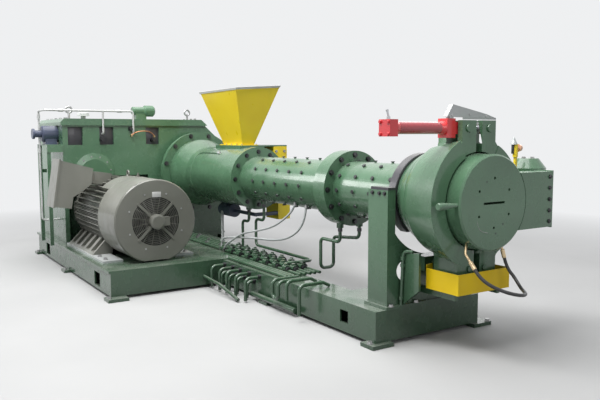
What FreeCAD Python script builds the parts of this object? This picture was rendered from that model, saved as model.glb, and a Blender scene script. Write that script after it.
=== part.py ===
import FreeCAD, Part
import math
import os
import Sketcher
from FreeCAD import Rotation, Vector
from types import SimpleNamespace

# Sizes in millimetres. Places along the machine are set back from the die face,
# heights are above the floor, and sideways places are from the screw's axis,
# the motor's side being negative.
SIZES = {
    # the shared datum: where the die face and the screw's axis lie in the part's frame
    "die_face_x": 3169,
    "screw_axis_y": 535,
    "screw_axis_height": 1100,
    "running_gap": 0.3,
    "moving_gap": 5,
    # drive base
    "drive_back": -6320,
    "drive_front": -3139,
    "drive_near": -1735,
    "drive_far": 400,
    "drive_front_far": 60,
    "drive_step": -5030,
    "base_bottom": 30,
    "drive_top": 280,
    "deck_thickness": 25,
    "deck_overhang": 18,
    "rail_flange": 90,
    "rail_wall": 16,
    "drive_middle_rail": -560,
    "rail_window_length": 190,
    "rail_window_low": 60,
    "rail_window_high": 200,
    "drive_window_back": -5870,
    "drive_window_front": -3690,
    "frame_window": -1061,
    "frame_window_length": 106,
    # barrel frame
    "frame_front": -616,
    "frame_half_width": 542,
    "narrow_far": -250,
    "wide_back": -1290,
    "frame_top": 270,
    "frame_deck_thickness": 14,
    # floor pads
    "pad_length": 150,
    "pad_width": 200,
    "pad_overhang": 60,
    "pad_thickness": 30,
    "pad_drive_back": -6245,
    "pad_drive_middle": -4780,
    "pad_drive_front": -3100,
    "pad_frame_middle": -2200,
    "pad_frame_front": -646,
    "pad_far_overhang": 115,
    # gearbox
    "case_back": -6240,
    "case_front": -5050,
    "case_near": -1680,
    "case_far": 400,
    "case_top": 1700,
    "case_corner_start": 160,
    "case_corner_height": 1479,
    "case_recess_front": -5250,
    "case_side_wall": 50,
    "case_recess_back": -5480,
    "case_recess_far": -640,
    "case_recess_top": 1085,
    "lid_top": 1780,
    "lid_overhang": 22,
    "pocket_depth": 28,
    "pocket_low": 1465,
    "pocket_high": 1680,
    "pocket_width": 175,
    "pocket_near": -1530,
    "pocket_middle": -1155,
    "pocket_far": -570,
    "cover_radius": 240,
    "cover_thickness": 34,
    "cover_y": -1320,
    "cover_height": 1125,
    # output flange and feed housing
    "output_face": -4866,
    "output_rim": 515,
    "output_plate": 70,
    "output_neck": 440,
    "output_bolt_circle": 479,
    "housing_back": -4866,
    "housing_front": -3321,
    "housing_radius": 335,
    "housing_cone_end": -4560,
    "housing_cone_radius": 420,
    "housing_flange_radius": 345,
    "housing_flange_length": 70,
    "housing_pad_near": -100,
    "housing_pad_far": 210,
    "housing_pad_height": 360,
    "housing_plate": 15,
    "throat_back": -4070,
    "throat_front": -3600,
    "throat_near": -50,
    "throat_far": 100,
    "throat_floor": 1180,
    # hopper
    "hopper_bottom": 1465,
    "hopper_top_near": 2090,
    "hopper_top_far": 2130,
    "hopper_flare_x": 240,
    "hopper_flare_y": 210,
    "hopper_wall": 6,
    "hopper_foot_width": 35,
    "hopper_foot_thickness": 8,
    # feed roll beside the housing
    "roll_back": -4080,
    "roll_front": -3560,
    "roll_near": 337,
    "roll_far": 515,
    "roll_low": 860,
    "roll_motor_radius": 80,
    "roll_motor_back": -4330,
    "roll_motor_front": -4020,
    "roll_shaft_radius": 22,
    "roll_shaft_y": 60,
    "roll_shaft_drop": 428,
    "roll_shaft_front": -3490,
    "roll_guard_back": -3760,
    "roll_guard_front": -3480,
    "roll_guard_low": 600,
    # barrels
    "barrel_radius": 240,
    "middle_flange_back": -1750,
    "middle_flange_front": -1582,
    "middle_flange_radius": 335,
    "middle_bolt_circle": 296,
    "collar_radius": 262,
    "collar_length": 90,
    "barrel_end": -620,
    "pin_radius": 11,
    "pin_stand_out": 14,
    "pin_depth": 20,
    "pin_pitch": 222,
    "rear_pin_start": -3010,
    "front_pin_start": -1514,
    # end ring and end flange
    "ring_back": -620,
    "ring_front": -508,
    "ring_radius": 430,
    "joint_face": -325,
    "joint_flange": 60,
    "joint_flange_radius": 400,
    "head_neck_radius": 340,
    # head
    "head_back": -150,
    "head_radius": 338,
    "head_chamfer": 12,
    "die_bolt_circle": 173,
    "die_bolt_radius": 10,
    "die_bolt_depth": 60,
    "slot_half_width": 106,
    "slot_height": 16,
    "slot_depth": 140,
    # clamp
    "clamp_back": -500,
    "clamp_front": -150,
    "neck_back": -380,
    "clamp_step": -400,
    "clamp_radius": 440,
    "clamp_rear_radius": 430,
    "clamp_lip_radius": 352,
    "clamp_groove_radius": 412,
    "clamp_gap": 30,
    "clamp_neck_width": 168,
    "clamp_neck_rise": 572,
    "clamp_shoulder_rise": 420,
    "clamp_shoulder_angle": 33,
    "clamp_cheek_rise": 410,
    "clamp_foot_drop": 535,
    "clamp_foot_width": 195,
    "clamp_foot_shoulder_drop": 410,
    "clamp_mouth": 70,
    "clamp_mouth_radius": 425,
    "pivot_y": 75,
    "pivot_drop": 480,
    "pivot_radius": 22,
    "pivot_block_half": 165,
    "pivot_block_under": 64,
    "pivot_block_over": 44,
    # clamp cylinder
    "cylinder_rise": 517,
    "cylinder_x": -247.5,
    "trunnion_y": 105,
    "trunnion_radius": 25,
    "rear_cap_size": 112,
    "front_cap_size": 134,
    "front_cap_width": 90,
    "cylinder_rear": -785,
    "cylinder_front": -182,
    "rear_cap_length": 69,
    "front_cap_length": 80,
    "tube_radius": 40,
    "tube_bore": 33,
    "tube_collar": 50,
    "tube_collar_length": 40,
    "nose_half_width": 45,
    "nose_half_height": 42,
    "rod_radius": 18,
    "rod_eye_half_length": 42,
    "rod_end": -600,
    "piston_length": 50,
    # guard over the lugs
    "guard_sheet": 4,
    "guard_depth": 40,
    "guard_front": -200,
    "guard_leg_width": 36,
    "guard_left": -265,
    "guard_left_rise": 81,
    "guard_peak": -210,
    "guard_peak_rise": 164,
    "guard_bend": 125,
    "guard_bend_rise": 101,
    "guard_right": 225,
    "guard_right_rise": 73,
    # handle
    "handle_x": -30,
    "handle_length": 170,
    "handle_root_radius": 16,
    "handle_tip_radius": 26,
    # head hinge
    "arm_back": -140,
    "arm_front": -6,
    "arm_far": 626,
    "arm_low": 888,
    "arm_high": 1300,
    "arm_end_plate": 16,
    "post_x": -330,
    "post_y": 757,
    "post_radius": 138,
    "post_low": 860,
    "post_shoulder": 1310,
    "post_high": 1385,
    "post_top_radius": 80,
    "carrier_near": 540,
    "switch_height": 1553,
    "switch_x": -290,
    "switch_y": 558,
    "switch_size": 20,
    "bracket_low": 905,
    "bracket_high": 1040,
    # drip tray
    "tray_back": -425,
    "tray_front": -105,
    "tray_near": -226,
    "tray_far": 300,
    "tray_low": 450,
    "tray_high": 600,
    "tray_wall": 4,
    "tray_back_height": 550,
    "tray_tab_width": 60,
    "tray_tab_rise": 28,
    # barrel stand
    "stand_back": -850,
    "stand_front": -624,
    "stand_half_width": 430,
    "stand_column": 75,
    "stand_high": 1165,
    "stand_plate": 20,
    "stand_web": 30,
    "stand_saddle_low": 660,
    "stand_hole_radius": 76,
    "stand_hole_y": 262,
    "stand_hole_height": 552,
    "stand_foot": 24,
    "gusset_y": 285,
    "gusset_thickness": 20,
    "gusset_length": 195,
    "gusset_front_low": 430,
    "gusset_front_high": 710,
    "gusset_back_high": 685,
    # motor
    "motor_y": -1180,
    "motor_height": 700,
    "motor_face": -3370,
    "cowl_radius": 430,
    "cowl_sheet": 8,
    "cowl_back": -3950,
    "cowl_flat": 400,
    "cowl_opening": 250,
    "motor_radius": 345,
    "fin_radius": 405,
    "fin_thickness": 9,
    "fin_count": 40,
    "motor_back": -5150,
    "bell_round": 90,
    "bell_start": -4990,
    "bell_rim": 30,
    "motor_inner_end": -3800,
    "fan_motor_radius": 78,
    "fan_motor_length": 150,
    "strut_width": 26,
    "strut_thickness": 10,
    "fan_back": -3660,
    "fan_front": -3570,
    "fan_radius": 240,
    "fan_hub_radius": 60,
    "fan_blades": 9,
    "fan_blade_thickness": 6,
    "fan_pitch": 35,
    "fan_shaft_radius": 18,
    "foot_back": -5045,
    "foot_front": -3580,
    "foot_plate": 20,
    "foot_reach": 480,
    "foot_top_reach": 300,
    "foot_height": 190,
    "window_width": 120,
    "window_low": 25,
    "window_high": 160,
    "coupling_half_width": 260,
    # terminal box
    "box_corner_y": -1940,
    "box_corner_height": 800,
    "box_width": 360,
    "box_height": 512,
    "box_foot_width": 181,
    "box_notch_low": 128,
    "box_notch_side": 291,
    "box_notch_high": 220,
    "box_waist": 300,
    "box_shoulder": 472,
    "box_seat_reach": 230,
    "box_back": -4700,
    "box_front": -4400,
    "box_lean": -9,
    "box_lid": 20,
    "lid_drop": 10,
    # pump stand and oil system
    "shelf_back": -5560,
    "shelf_front": -5030,
    "shelf_near": -1862,
    "shelf_height": 1460,
    "shelf_plate": 14,
    "shelf_lip": 90,
    "shelf_bar_height": 1125,
    "leg_size": 42,
    "pump_x": -5320,
    "pump_rise": 126,
    "pump_radius": 98,
    "pump_near": -1850,
    "pump_tail": -1965,
    "pump_tail_radius": 62,
    "pipe_stand_off": -1884,
    "pipe_radius": 12,
    "manifold_height": 1874,
    "manifold_x": -5010,
    "suction_height": 560,
    "inlet_height": 1600,
    "filter_near": -745,
    "filter_far": -450,
    "filter_radius": 52,
    "filter_x": -5300,
    "filter_rise": 112,
    "filter_end_radius": 72,
    "breather_x": -5350,
    "breather_y": -1350,
    "breather_radius": 75,
    "breather_rise": 85,
    "eye_radius": 36,
    "eye_thickness": 12,
    "eye_stem": 77,
    "eye_front": -5500,
    "eye_far": 100,
    "eye_corner": -5120,
    "eye_near": -1580,
    "drop_y": -1205,
    "riser_y": -830,
    # tempering pipes
    "temper_pipe_radius": 16,
    "low_pipe_y": -760,
    "outer_row_y": -700,
    "inner_row_y": -630,
    "outer_row_height": 227,
    "inner_row_height": 170,
    "pipe_foot": 14,
    "main_radius": 26,
    "main_height": 56.3,
    "port_length": 34,
    "rear_port": -3554,
    "second_port": -3209,
    "loop_port": -1730,
    "loop_return": -1640,
    "loop_low": 310,
    "loop_high": 600,
    "loop_back": -2040,
    "drop_foot": -3708,
    "drop_foot_bend": 592,
    "drop_turn": -3393,
    "drop_turn_height": 640,
    "drop_run_height": 345,
    "drop_end": -2265,
    "drop_end_y": -330,
    # head hose
    "hose_radius": 12,
    "fitting_radius": 9,
    "sleeve_radius": 15,
    "sleeve_length": 60,
    "bolt_head": 12,
}

doc = FreeCAD.newDocument("Extruder")
sheet = doc.addObject("Spreadsheet::Sheet", "Sizes")
for line, (alias, number) in enumerate(SIZES.items(), 1):
    sheet.set(f"A{line}", alias)
    sheet.set(f"B{line}", str(number))
    sheet.setAlias(f"B{line}", alias)
doc.recompute()


class Size:
    """A size that knows its number and its formula in the sheet."""

    def __init__(self, number, text):
        self.number = number
        self.text = text

    def __add__(self, other):
        other = lift(other)
        return Size(self.number + other.number, f"({self.text} + {other.text})")

    def __radd__(self, other):
        return lift(other) + self

    def __sub__(self, other):
        other = lift(other)
        return Size(self.number - other.number, f"({self.text} - {other.text})")

    def __rsub__(self, other):
        return lift(other) - self

    def __mul__(self, other):
        other = lift(other)
        return Size(self.number * other.number, f"({self.text} * {other.text})")

    def __rmul__(self, other):
        return lift(other) * self

    def __truediv__(self, other):
        other = lift(other)
        return Size(self.number / other.number, f"({self.text} / {other.text})")

    def __neg__(self):
        return Size(-self.number, f"(0 - {self.text})")


def lift(value):
    return value if isinstance(value, Size) else Size(float(value), f"({float(value):.6f})")


def cosine(angle):
    angle = lift(angle)
    return Size(math.cos(math.radians(angle.number)), f"cos({angle.text} * 1 deg)")


def sine(angle):
    angle = lift(angle)
    return Size(math.sin(math.radians(angle.number)), f"sin({angle.text} * 1 deg)")


z = SimpleNamespace(**{alias: Size(number, f"Sizes.{alias}") for alias, number in SIZES.items()})

# Heights that follow from the screw's axis and from what a piece stands on.
z.pump_height = z.shelf_height + z.shelf_plate + z.pump_rise
z.roll_high = z.screw_axis_height + z.housing_pad_height - z.housing_plate
z.roll_shaft_height = z.screw_axis_height - z.roll_shaft_drop
z.cylinder_height = z.screw_axis_height + z.cylinder_rise
z.clamp_neck_top = z.screw_axis_height + z.clamp_neck_rise
z.clamp_shoulder_height = z.screw_axis_height + z.clamp_shoulder_rise
z.clamp_cheek_floor = z.screw_axis_height + z.clamp_cheek_rise
z.clamp_foot_height = z.screw_axis_height - z.clamp_foot_drop
z.clamp_foot_shoulder = z.screw_axis_height - z.clamp_foot_shoulder_drop
z.pivot_height = z.screw_axis_height - z.pivot_drop
z.guard_left_height = z.cylinder_height + z.guard_left_rise
z.guard_peak_height = z.cylinder_height + z.guard_peak_rise
z.guard_bend_height = z.cylinder_height + z.guard_bend_rise
z.guard_right_height = z.cylinder_height + z.guard_right_rise

TURN = {"x": Rotation(Vector(0, 1, 0), 90), "y": Rotation(Vector(1, 0, 0), -90), "z": Rotation()}
SPIN = {"x": Rotation(), "y": Rotation(Vector(0, 0, 1), 90), "z": Rotation(Vector(0, 1, 0), -90)}
PLANES = {"x": "YZ_Plane", "y": "XZ_Plane", "z": "XY_Plane"}


def bind(thing, **formulas):
    """Tie an object's properties to formulas in the sheet."""
    for name, value in formulas.items():
        thing.setExpression(name.replace("__", "."), lift(value).text)
    return thing


def place(thing, x, y, height, rotation=None):
    """Put a thing at a place given from the die face, the screw's axis and the floor."""
    if rotation is not None:
        thing.Placement = FreeCAD.Placement(Vector(0, 0, 0), rotation)
    return bind(
        thing,
        Placement__Base__x=z.die_face_x + x,
        Placement__Base__y=z.screw_axis_y + y,
        Placement__Base__z=lift(height),
    )


def block(name, x, y, height):
    """A box between two values along each axis."""
    thing = doc.addObject("Part::Box", name)
    bind(thing, Length=lift(x[1]) - x[0], Width=lift(y[1]) - y[0], Height=lift(height[1]) - height[0])
    return place(thing, x[0], y[0], height[0])


def start_of(along, span, centre):
    """The point where a round piece along an axis begins."""
    first, second = centre
    return {
        "x": (span[0], first, second),
        "y": (first, span[0], second),
        "z": (first, second, span[0]),
    }[along]


def bar(name, along, radius, span, centre):
    """A round bar along an axis, its centre given by the two other coordinates."""
    thing = doc.addObject("Part::Cylinder", name)
    bind(thing, Radius=radius, Height=lift(span[1]) - span[0])
    return place(thing, *start_of(along, span, centre), TURN[along])


def taper(name, along, radii, span, centre):
    """A cone frustum along an axis."""
    thing = doc.addObject("Part::Cone", name)
    bind(thing, Radius1=radii[0], Radius2=radii[1], Height=lift(span[1]) - span[0])
    return place(thing, *start_of(along, span, centre), TURN[along])


def cut(name, base, *tools):
    thing = doc.addObject("Part::Cut", name)
    thing.Base = base
    thing.Tool = tools[0] if len(tools) == 1 else together(name + "Tools", *tools)
    return thing


def join(name, *pieces):
    thing = doc.addObject("Part::MultiFuse", name)
    thing.Shapes = list(pieces)
    return thing


def together(name, *pieces):
    """Pieces that stand beside each other without touching."""
    thing = doc.addObject("Part::Compound", name)
    thing.Links = list(pieces)
    return thing


def common(name, first, second):
    thing = doc.addObject("Part::MultiCommon", name)
    thing.Shapes = [first, second]
    return thing


def draw(body, name, plane, corners):
    """A closed outline through corners, each corner tied to its two formulas."""
    sketch = body.newObject("Sketcher::SketchObject", name)
    origin_plane = [f for f in body.Origin.OriginFeatures if f.Role == plane][0]
    sketch.AttachmentSupport = [(origin_plane, "")]
    sketch.MapMode = "FlatFace"
    corners = [(lift(u), lift(v)) for u, v in corners]
    points = [Vector(u.number, v.number, 0) for u, v in corners]
    count = len(points)
    for k in range(count):
        sketch.addGeometry(Part.LineSegment(points[k], points[(k + 1) % count]), False)
    for k in range(count):
        sketch.addConstraint(Sketcher.Constraint("Coincident", k, 2, (k + 1) % count, 1))
    for k, corner in enumerate(corners):
        for kind, value in zip(("DistanceX", "DistanceY"), corner):
            index = sketch.addConstraint(Sketcher.Constraint(kind, -1, 1, k, 1, value.number))
            sketch.renameConstraint(index, f"{kind}{k}")
            sketch.setExpression(f"Constraints.{kind}{k}", value.text)
    return sketch


def turned(name, along, outline, centre):
    """A turned piece: its outline gives (place along the axis, radius) corners."""
    body = doc.addObject("PartDesign::Body", name)
    sketch = draw(body, name + "Outline", "XZ_Plane", outline)
    turn = body.newObject("PartDesign::Revolution", name + "Turn")
    turn.Profile = sketch
    turn.ReferenceAxis = (sketch, ["H_Axis"])
    turn.Angle = 360
    sketch.Visibility = False
    return place(body, *start_of(along, (0, 0), centre), SPIN[along])


def padded(name, normal, corners, span):
    """A plate or section: an outline square to an axis, padded along it."""
    body = doc.addObject("PartDesign::Body", name)
    sketch = draw(body, name + "Outline", PLANES[normal], corners)
    pad = body.newObject("PartDesign::Pad", name + "Pad")
    pad.Profile = sketch
    pad.Reversed = normal == "y"
    bind(pad, Length=lift(span[1]) - span[0])
    return place(body, *start_of(normal, span, (0, 0)))


def around(count, first=0.0):
    """Evenly spaced angles round a circle."""
    return [first + 360.0 * k / count for k in range(count)]


def bolt_ring(name, count, first, circle, radius, span, centre_y=0, centre_height=None):
    """Round bars evenly spaced on a circle about an axis along the machine."""
    height = z.screw_axis_height if centre_height is None else centre_height
    bars = []
    for k, angle in enumerate(around(count, first)):
        spot = (lift(centre_y) + circle * cosine(angle), height + circle * sine(angle))
        bars.append(bar(f"{name}{k}", "x", radius, span, spot))
    return together(name, *bars)


def pipe(name, points, radius, fixed=None):
    """A pipe through points, with tangent bends where it turns: one radius, or as wide as the runs allow."""
    points = [Vector(*p) for p in points]
    edges = []
    bends = []
    start = points[0]
    for before, corner, after in zip(points, points[1:], points[2:]):
        come = corner - before
        leave = after - corner
        shorter = min(come.Length, leave.Length)
        come.normalize()
        leave.normalize()
        turn = come.getAngle(leave)
        reach = 0.45 * shorter if fixed is None else fixed * math.tan(turn / 2)
        bend = reach / math.tan(turn / 2)
        bends.append(bend)
        first = corner - come * reach
        last = corner + leave * reach
        middle = corner + (leave - come).normalize() * (bend / math.cos(turn / 2) - bend)
        edges += [Part.LineSegment(start, first).toShape(), Part.Arc(first, middle, last).toShape()]
        start = last
    edges.append(Part.LineSegment(start, points[-1]).toShape())
    path = Part.Wire(edges)
    circle = Part.Circle(points[0], points[1] - points[0], radius).toShape()
    shape = path.makePipeShell([Part.Wire([circle])], True, False)
    if fixed is None and bends:
        run = shape.Volume / (math.pi * radius ** 2)
        print(f"{name}: bends {min(bends):.0f}..{max(bends):.0f}, length {path.Length:.1f}, by volume {run:.1f}")
    thing = doc.addObject("Part::Feature", name)
    thing.Shape = shape
    return thing


def from_machine(x, y, height):
    """A point in the part's frame from the machine's own coordinates."""
    return (z.die_face_x.number + x, z.screw_axis_y.number + y, height)


NODES = []


def node(label, thing):
    thing.Label = label
    NODES.append(thing)
    return thing


AXIS = (0, z.screw_axis_height)


def channel(name, along, span, outer, inward, low, high):
    """A channel rail on its side: web outwards, both flanges turned inwards."""
    web = outer + inward * z.rail_wall
    tip = outer + inward * z.rail_flange
    corners = [
        (outer, low), (tip, low), (tip, low + z.rail_wall), (web, low + z.rail_wall),
        (web, high - z.rail_wall), (tip, high - z.rail_wall), (tip, high), (outer, high),
    ]
    return padded(name, along, corners, span)


def capped(name, span, outer, inward, low, high):
    """A channel rail along the machine with its front end closed by a plate."""
    rail = channel(name + "Rail", "x", span, outer, inward, low, high)
    tip = outer + inward * z.rail_flange
    across = (outer, tip) if inward > 0 else (tip, outer)
    return join(name, rail, block(name + "Cap", (span[1] - z.rail_wall, span[1]), across, (low, high)))


def drive_base():
    """Base rails and beams, full width under the gearbox and narrower in front of it."""
    low = z.base_bottom
    high = z.drive_top - z.deck_thickness
    span = (z.drive_back, z.drive_front)
    clear = z.running_gap
    near = capped("DriveNear", span, z.drive_near, 1, low, high)
    far = channel("DriveFar", "x", (z.drive_back, z.drive_step), z.drive_far, -1, low, high)
    front_far = capped("DriveFrontFar", (z.drive_step + clear, z.drive_front), z.drive_front_far, -1, low, high)
    middle = channel("DriveMiddle", "x", span, z.drive_middle_rail, 1, low, high)
    windows = []
    for k, back in enumerate((z.drive_window_back, z.drive_window_front)):
        windows.append(block(f"DriveWindow{k}", (back, back + z.rail_window_length),
                             (z.drive_near - 10, z.drive_near + z.rail_wall + 10),
                             (z.rail_window_low, z.rail_window_high)))
    near = cut("DriveNearCut", near, *windows)

    beams = []
    over = z.deck_overhang
    inner = z.drive_middle_rail + z.rail_flange + clear
    near_gap = (z.drive_near + z.rail_flange + clear, z.drive_middle_rail - clear)
    wide_gap = (inner, z.drive_far - z.rail_flange - clear)
    slim_gap = (inner, z.drive_front_far - z.rail_flange - clear)
    length = z.drive_front - z.drive_back
    last = 4
    for row, gaps in enumerate(((near_gap,) * last, (wide_gap, wide_gap, slim_gap, slim_gap))):
        for k, gap in enumerate(gaps):
            outer = z.drive_back + length * (k / last)
            beams.append(channel(f"DriveBeam{row}{k}", "y", gap, outer, 1, low, high))
        beams.append(channel(f"DriveBeam{row}Front", "y", gap, z.drive_front, -1, low, high))
    beams.append(channel("DriveBeamStep", "y", wide_gap, z.drive_step, -1, low, high))
    node("drive_base", together("DriveBase", near, middle, far, front_far, *beams))
    node("drive_deck", padded("DriveDeck", "z", [
        (z.drive_back - over, z.drive_near - over), (z.drive_front, z.drive_near - over),
        (z.drive_front, z.drive_front_far + over), (z.drive_step, z.drive_front_far + over),
        (z.drive_step, z.drive_far + over), (z.drive_back - over, z.drive_far + over),
    ], (high, z.drive_top)))


def barrel_frame():
    """A narrow frame beside the barrels, widening to full width under the stand."""
    low = z.base_bottom
    high = z.frame_top - z.frame_deck_thickness
    half = z.frame_half_width
    clear = z.running_gap
    near = capped("FrameNear", (z.drive_front, z.frame_front), -half, 1, low, high)
    window = block("FrameWindow", (z.frame_window, z.frame_window + z.frame_window_length),
                   (-half - 10, -half + z.rail_wall + 10), (z.rail_window_low + 40, z.rail_window_high))
    inner = channel("FrameInner", "x", (z.drive_front, z.wide_back - clear), z.narrow_far, -1, low, high)
    far = capped("FrameFar", (z.wide_back, z.frame_front), half, -1, low, high)
    beams = []
    narrow = (-half + z.rail_flange + clear, z.narrow_far - z.rail_flange - clear)
    for k in range(3):
        outer = z.drive_front + (z.wide_back - z.drive_front) * (k / 3)
        beams.append(channel(f"NarrowBeam{k}", "y", narrow, outer, 1, low, high))
    wide = (-half + z.rail_flange + clear, half - z.rail_flange - clear)
    middle = (z.wide_back + z.frame_front) / 2
    for k, (outer, inward) in enumerate(((z.wide_back, 1), (middle, 1), (z.frame_front, -1))):
        beams.append(channel(f"WideBeam{k}", "y", wide, outer, inward, low, high))
    node("barrel_frame", together("Frame", cut("FrameNearCut", near, window), inner, far, *beams))
    node("barrel_frame_deck", padded("FrameDeck", "z", [
        (z.drive_front, -half), (z.frame_front, -half), (z.frame_front, half), (z.wide_back, half),
        (z.wide_back, z.narrow_far), (z.drive_front, z.narrow_far),
    ], (high, z.frame_top)))


def floor_pads():
    places = []
    for x, far in ((z.pad_drive_back, z.drive_far), (z.pad_drive_middle, z.drive_front_far),
                   (z.pad_drive_front, z.drive_front_far)):
        places += [(x, z.drive_near, -1), (x, far, 1)]
    far_edge = z.frame_half_width + z.pad_far_overhang - z.pad_overhang
    places += [(z.pad_frame_front, -z.frame_half_width, -1), (z.pad_frame_front, far_edge, 1)]
    places += [(z.wide_back + z.pad_length / 2, z.frame_half_width, 1)]
    places += [(z.pad_frame_middle, -z.frame_half_width, -1)]
    pads = []
    for k, (middle, edge, side) in enumerate(places):
        outer = edge + side * z.pad_overhang
        y = (outer, outer + z.pad_width) if side < 0 else (outer - z.pad_width, outer)
        pads.append(block(f"Pad{k}", (middle - z.pad_length / 2, middle + z.pad_length / 2), y,
                          (0, z.pad_thickness)))
    node("floor_pads", together("Pads", *pads))


def gearbox():
    outline = [
        (z.case_near, z.drive_top), (z.case_far, z.drive_top), (z.case_far, z.case_corner_height),
        (z.case_corner_start, z.case_top), (z.case_near, z.case_top),
    ]
    case = padded("CaseBlock", "x", outline, (z.case_back, z.case_front))
    recess = block("CaseRecess", (z.case_recess_back, z.case_front + 10),
                   (z.case_near + z.case_side_wall, z.case_recess_far),
                   (z.drive_top - 10, z.case_recess_top))
    pockets = []
    for k, centre in enumerate((z.pocket_near, z.pocket_middle, z.pocket_far)):
        pockets.append(block(
            f"CasePocket{k}", (z.case_front - z.pocket_depth, z.case_front + 10),
            (centre - z.pocket_width / 2, centre + z.pocket_width / 2), (z.pocket_low, z.pocket_high)))
    node("gearbox_case", cut("Case", case, recess, *pockets))
    over = z.lid_overhang
    lid = [
        (z.case_near - over, z.case_top), (z.case_corner_start, z.case_top),
        (z.case_corner_start + over, z.case_top + 8), (z.case_corner_start - 60, z.lid_top),
        (z.case_near + over, z.lid_top), (z.case_near - over, z.lid_top - 2 * over),
    ]
    node("gearbox_lid", padded("Lid", "x", lid, (z.case_back - over, z.case_front + over)))
    cover = turned("BearingCover", "x", [
        (z.case_front, 0), (z.case_front, z.cover_radius),
        (z.case_front + z.cover_thickness * 0.6, z.cover_radius),
        (z.case_front + z.cover_thickness, z.cover_radius * 0.7), (z.case_front + z.cover_thickness, 0),
    ], (z.cover_y, z.cover_height))
    recess_edge = block("CoverTrim", (z.case_front - 10, z.case_front + z.cover_thickness + 10),
                        (z.cover_y - z.cover_radius - 10, z.cover_y + z.cover_radius + 10),
                        (z.cover_height - z.cover_radius - 10, z.case_recess_top))
    node("bearing_covers", cut("CoverTrimmed", cover, recess_edge))


def output_flange():
    face = z.output_face
    back = z.case_front
    body = turned("OutputFlangeBody", "x", [
        (back, 0), (back, z.output_neck), (face - z.output_plate, z.output_neck),
        (face - z.output_plate, z.output_rim), (face, z.output_rim), (face, 0),
    ], AXIS)
    bolts = bolt_ring("OutputBolts", 12, 15, z.output_bolt_circle, z.bolt_head,
                      (face - 40, face + 10))
    node("output_flange", cut("OutputFlange", body, bolts))


def feed_housing():
    face = z.output_face
    front = z.housing_front
    body = turned("HousingTurned", "x", [
        (face, 0), (face, z.housing_cone_radius), (face + 90, z.housing_cone_radius),
        (z.housing_cone_end, z.housing_radius), (front - z.housing_flange_length, z.housing_radius),
        (front - z.housing_flange_length, z.housing_flange_radius), (front, z.housing_flange_radius),
        (front, 0),
    ], AXIS)
    top = z.screw_axis_height + z.housing_pad_height
    pad = block("HousingPad", (z.throat_back - 120, z.roll_front), (z.housing_pad_near, z.housing_pad_far),
                (z.screw_axis_height + 200, top))
    plate = block("HousingPlate", (z.throat_back - 120, z.roll_front), (z.housing_pad_near, z.roll_far),
                  (top - z.housing_plate, top))
    throat = block("HousingThroat", (z.throat_back, z.throat_front), (z.throat_near, z.throat_far),
                   (z.throat_floor, top + 20))
    node("feed_housing", cut("Housing", join("HousingWhole", body, pad, plate), throat))
    return top


def hopper(foot_height):
    wall = z.hopper_wall
    foot = z.hopper_foot_thickness
    shells = []
    for name, inset, extra in (("Outer", 0, 0), ("Inner", wall, 1)):
        low = foot_height + (foot - foot * extra) - extra * 5
        bottom = [
            (z.throat_back + inset, z.throat_near + inset), (z.throat_front - inset, z.throat_near + inset),
            (z.throat_front - inset, z.throat_far - inset), (z.throat_back + inset, z.throat_far - inset),
        ]
        flare_x, flare_y = z.hopper_flare_x, z.hopper_flare_y
        top = [
            (z.throat_back - flare_x + inset, z.throat_near - flare_y + inset),
            (z.throat_front + flare_x - inset, z.throat_near - flare_y + inset),
            (z.throat_front + flare_x - inset, z.throat_far + flare_y - inset),
            (z.throat_back - flare_x + inset, z.throat_far + flare_y - inset),
        ]
        body = doc.addObject("PartDesign::Body", "Hopper" + name)
        first = draw(body, name + "Low", "XY_Plane", bottom)
        second = draw(body, name + "High", "XY_Plane", top)
        bind(second, AttachmentOffset__Base__z=z.hopper_top_far + extra * 5 - low)
        loft = body.newObject("PartDesign::AdditiveLoft", "Hopper" + name + "Loft")
        loft.Profile = first
        loft.Sections = [second]
        loft.Ruled = True
        shells.append(place(body, 0, 0, low))
    slope = padded("HopperRimCut", "x", [
        (z.throat_near - z.hopper_flare_y - 50, z.hopper_top_near - 4),
        (z.throat_far + z.hopper_flare_y, z.hopper_top_far),
        (z.throat_far + z.hopper_flare_y, z.hopper_top_far + 60),
        (z.throat_near - z.hopper_flare_y - 50, z.hopper_top_far + 60),
    ], (z.throat_back - z.hopper_flare_x - 50, z.throat_front + z.hopper_flare_x + 50))
    margin = z.hopper_foot_width
    foot_plate = block("HopperFoot", (z.throat_back - margin, z.throat_front + margin),
                       (z.throat_near - margin, z.throat_far + margin), (foot_height, foot_height + foot))
    funnel = join("HopperWhole", shells[0], foot_plate)
    node("feed_hopper", cut("Hopper", funnel, shells[1], slope))


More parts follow.
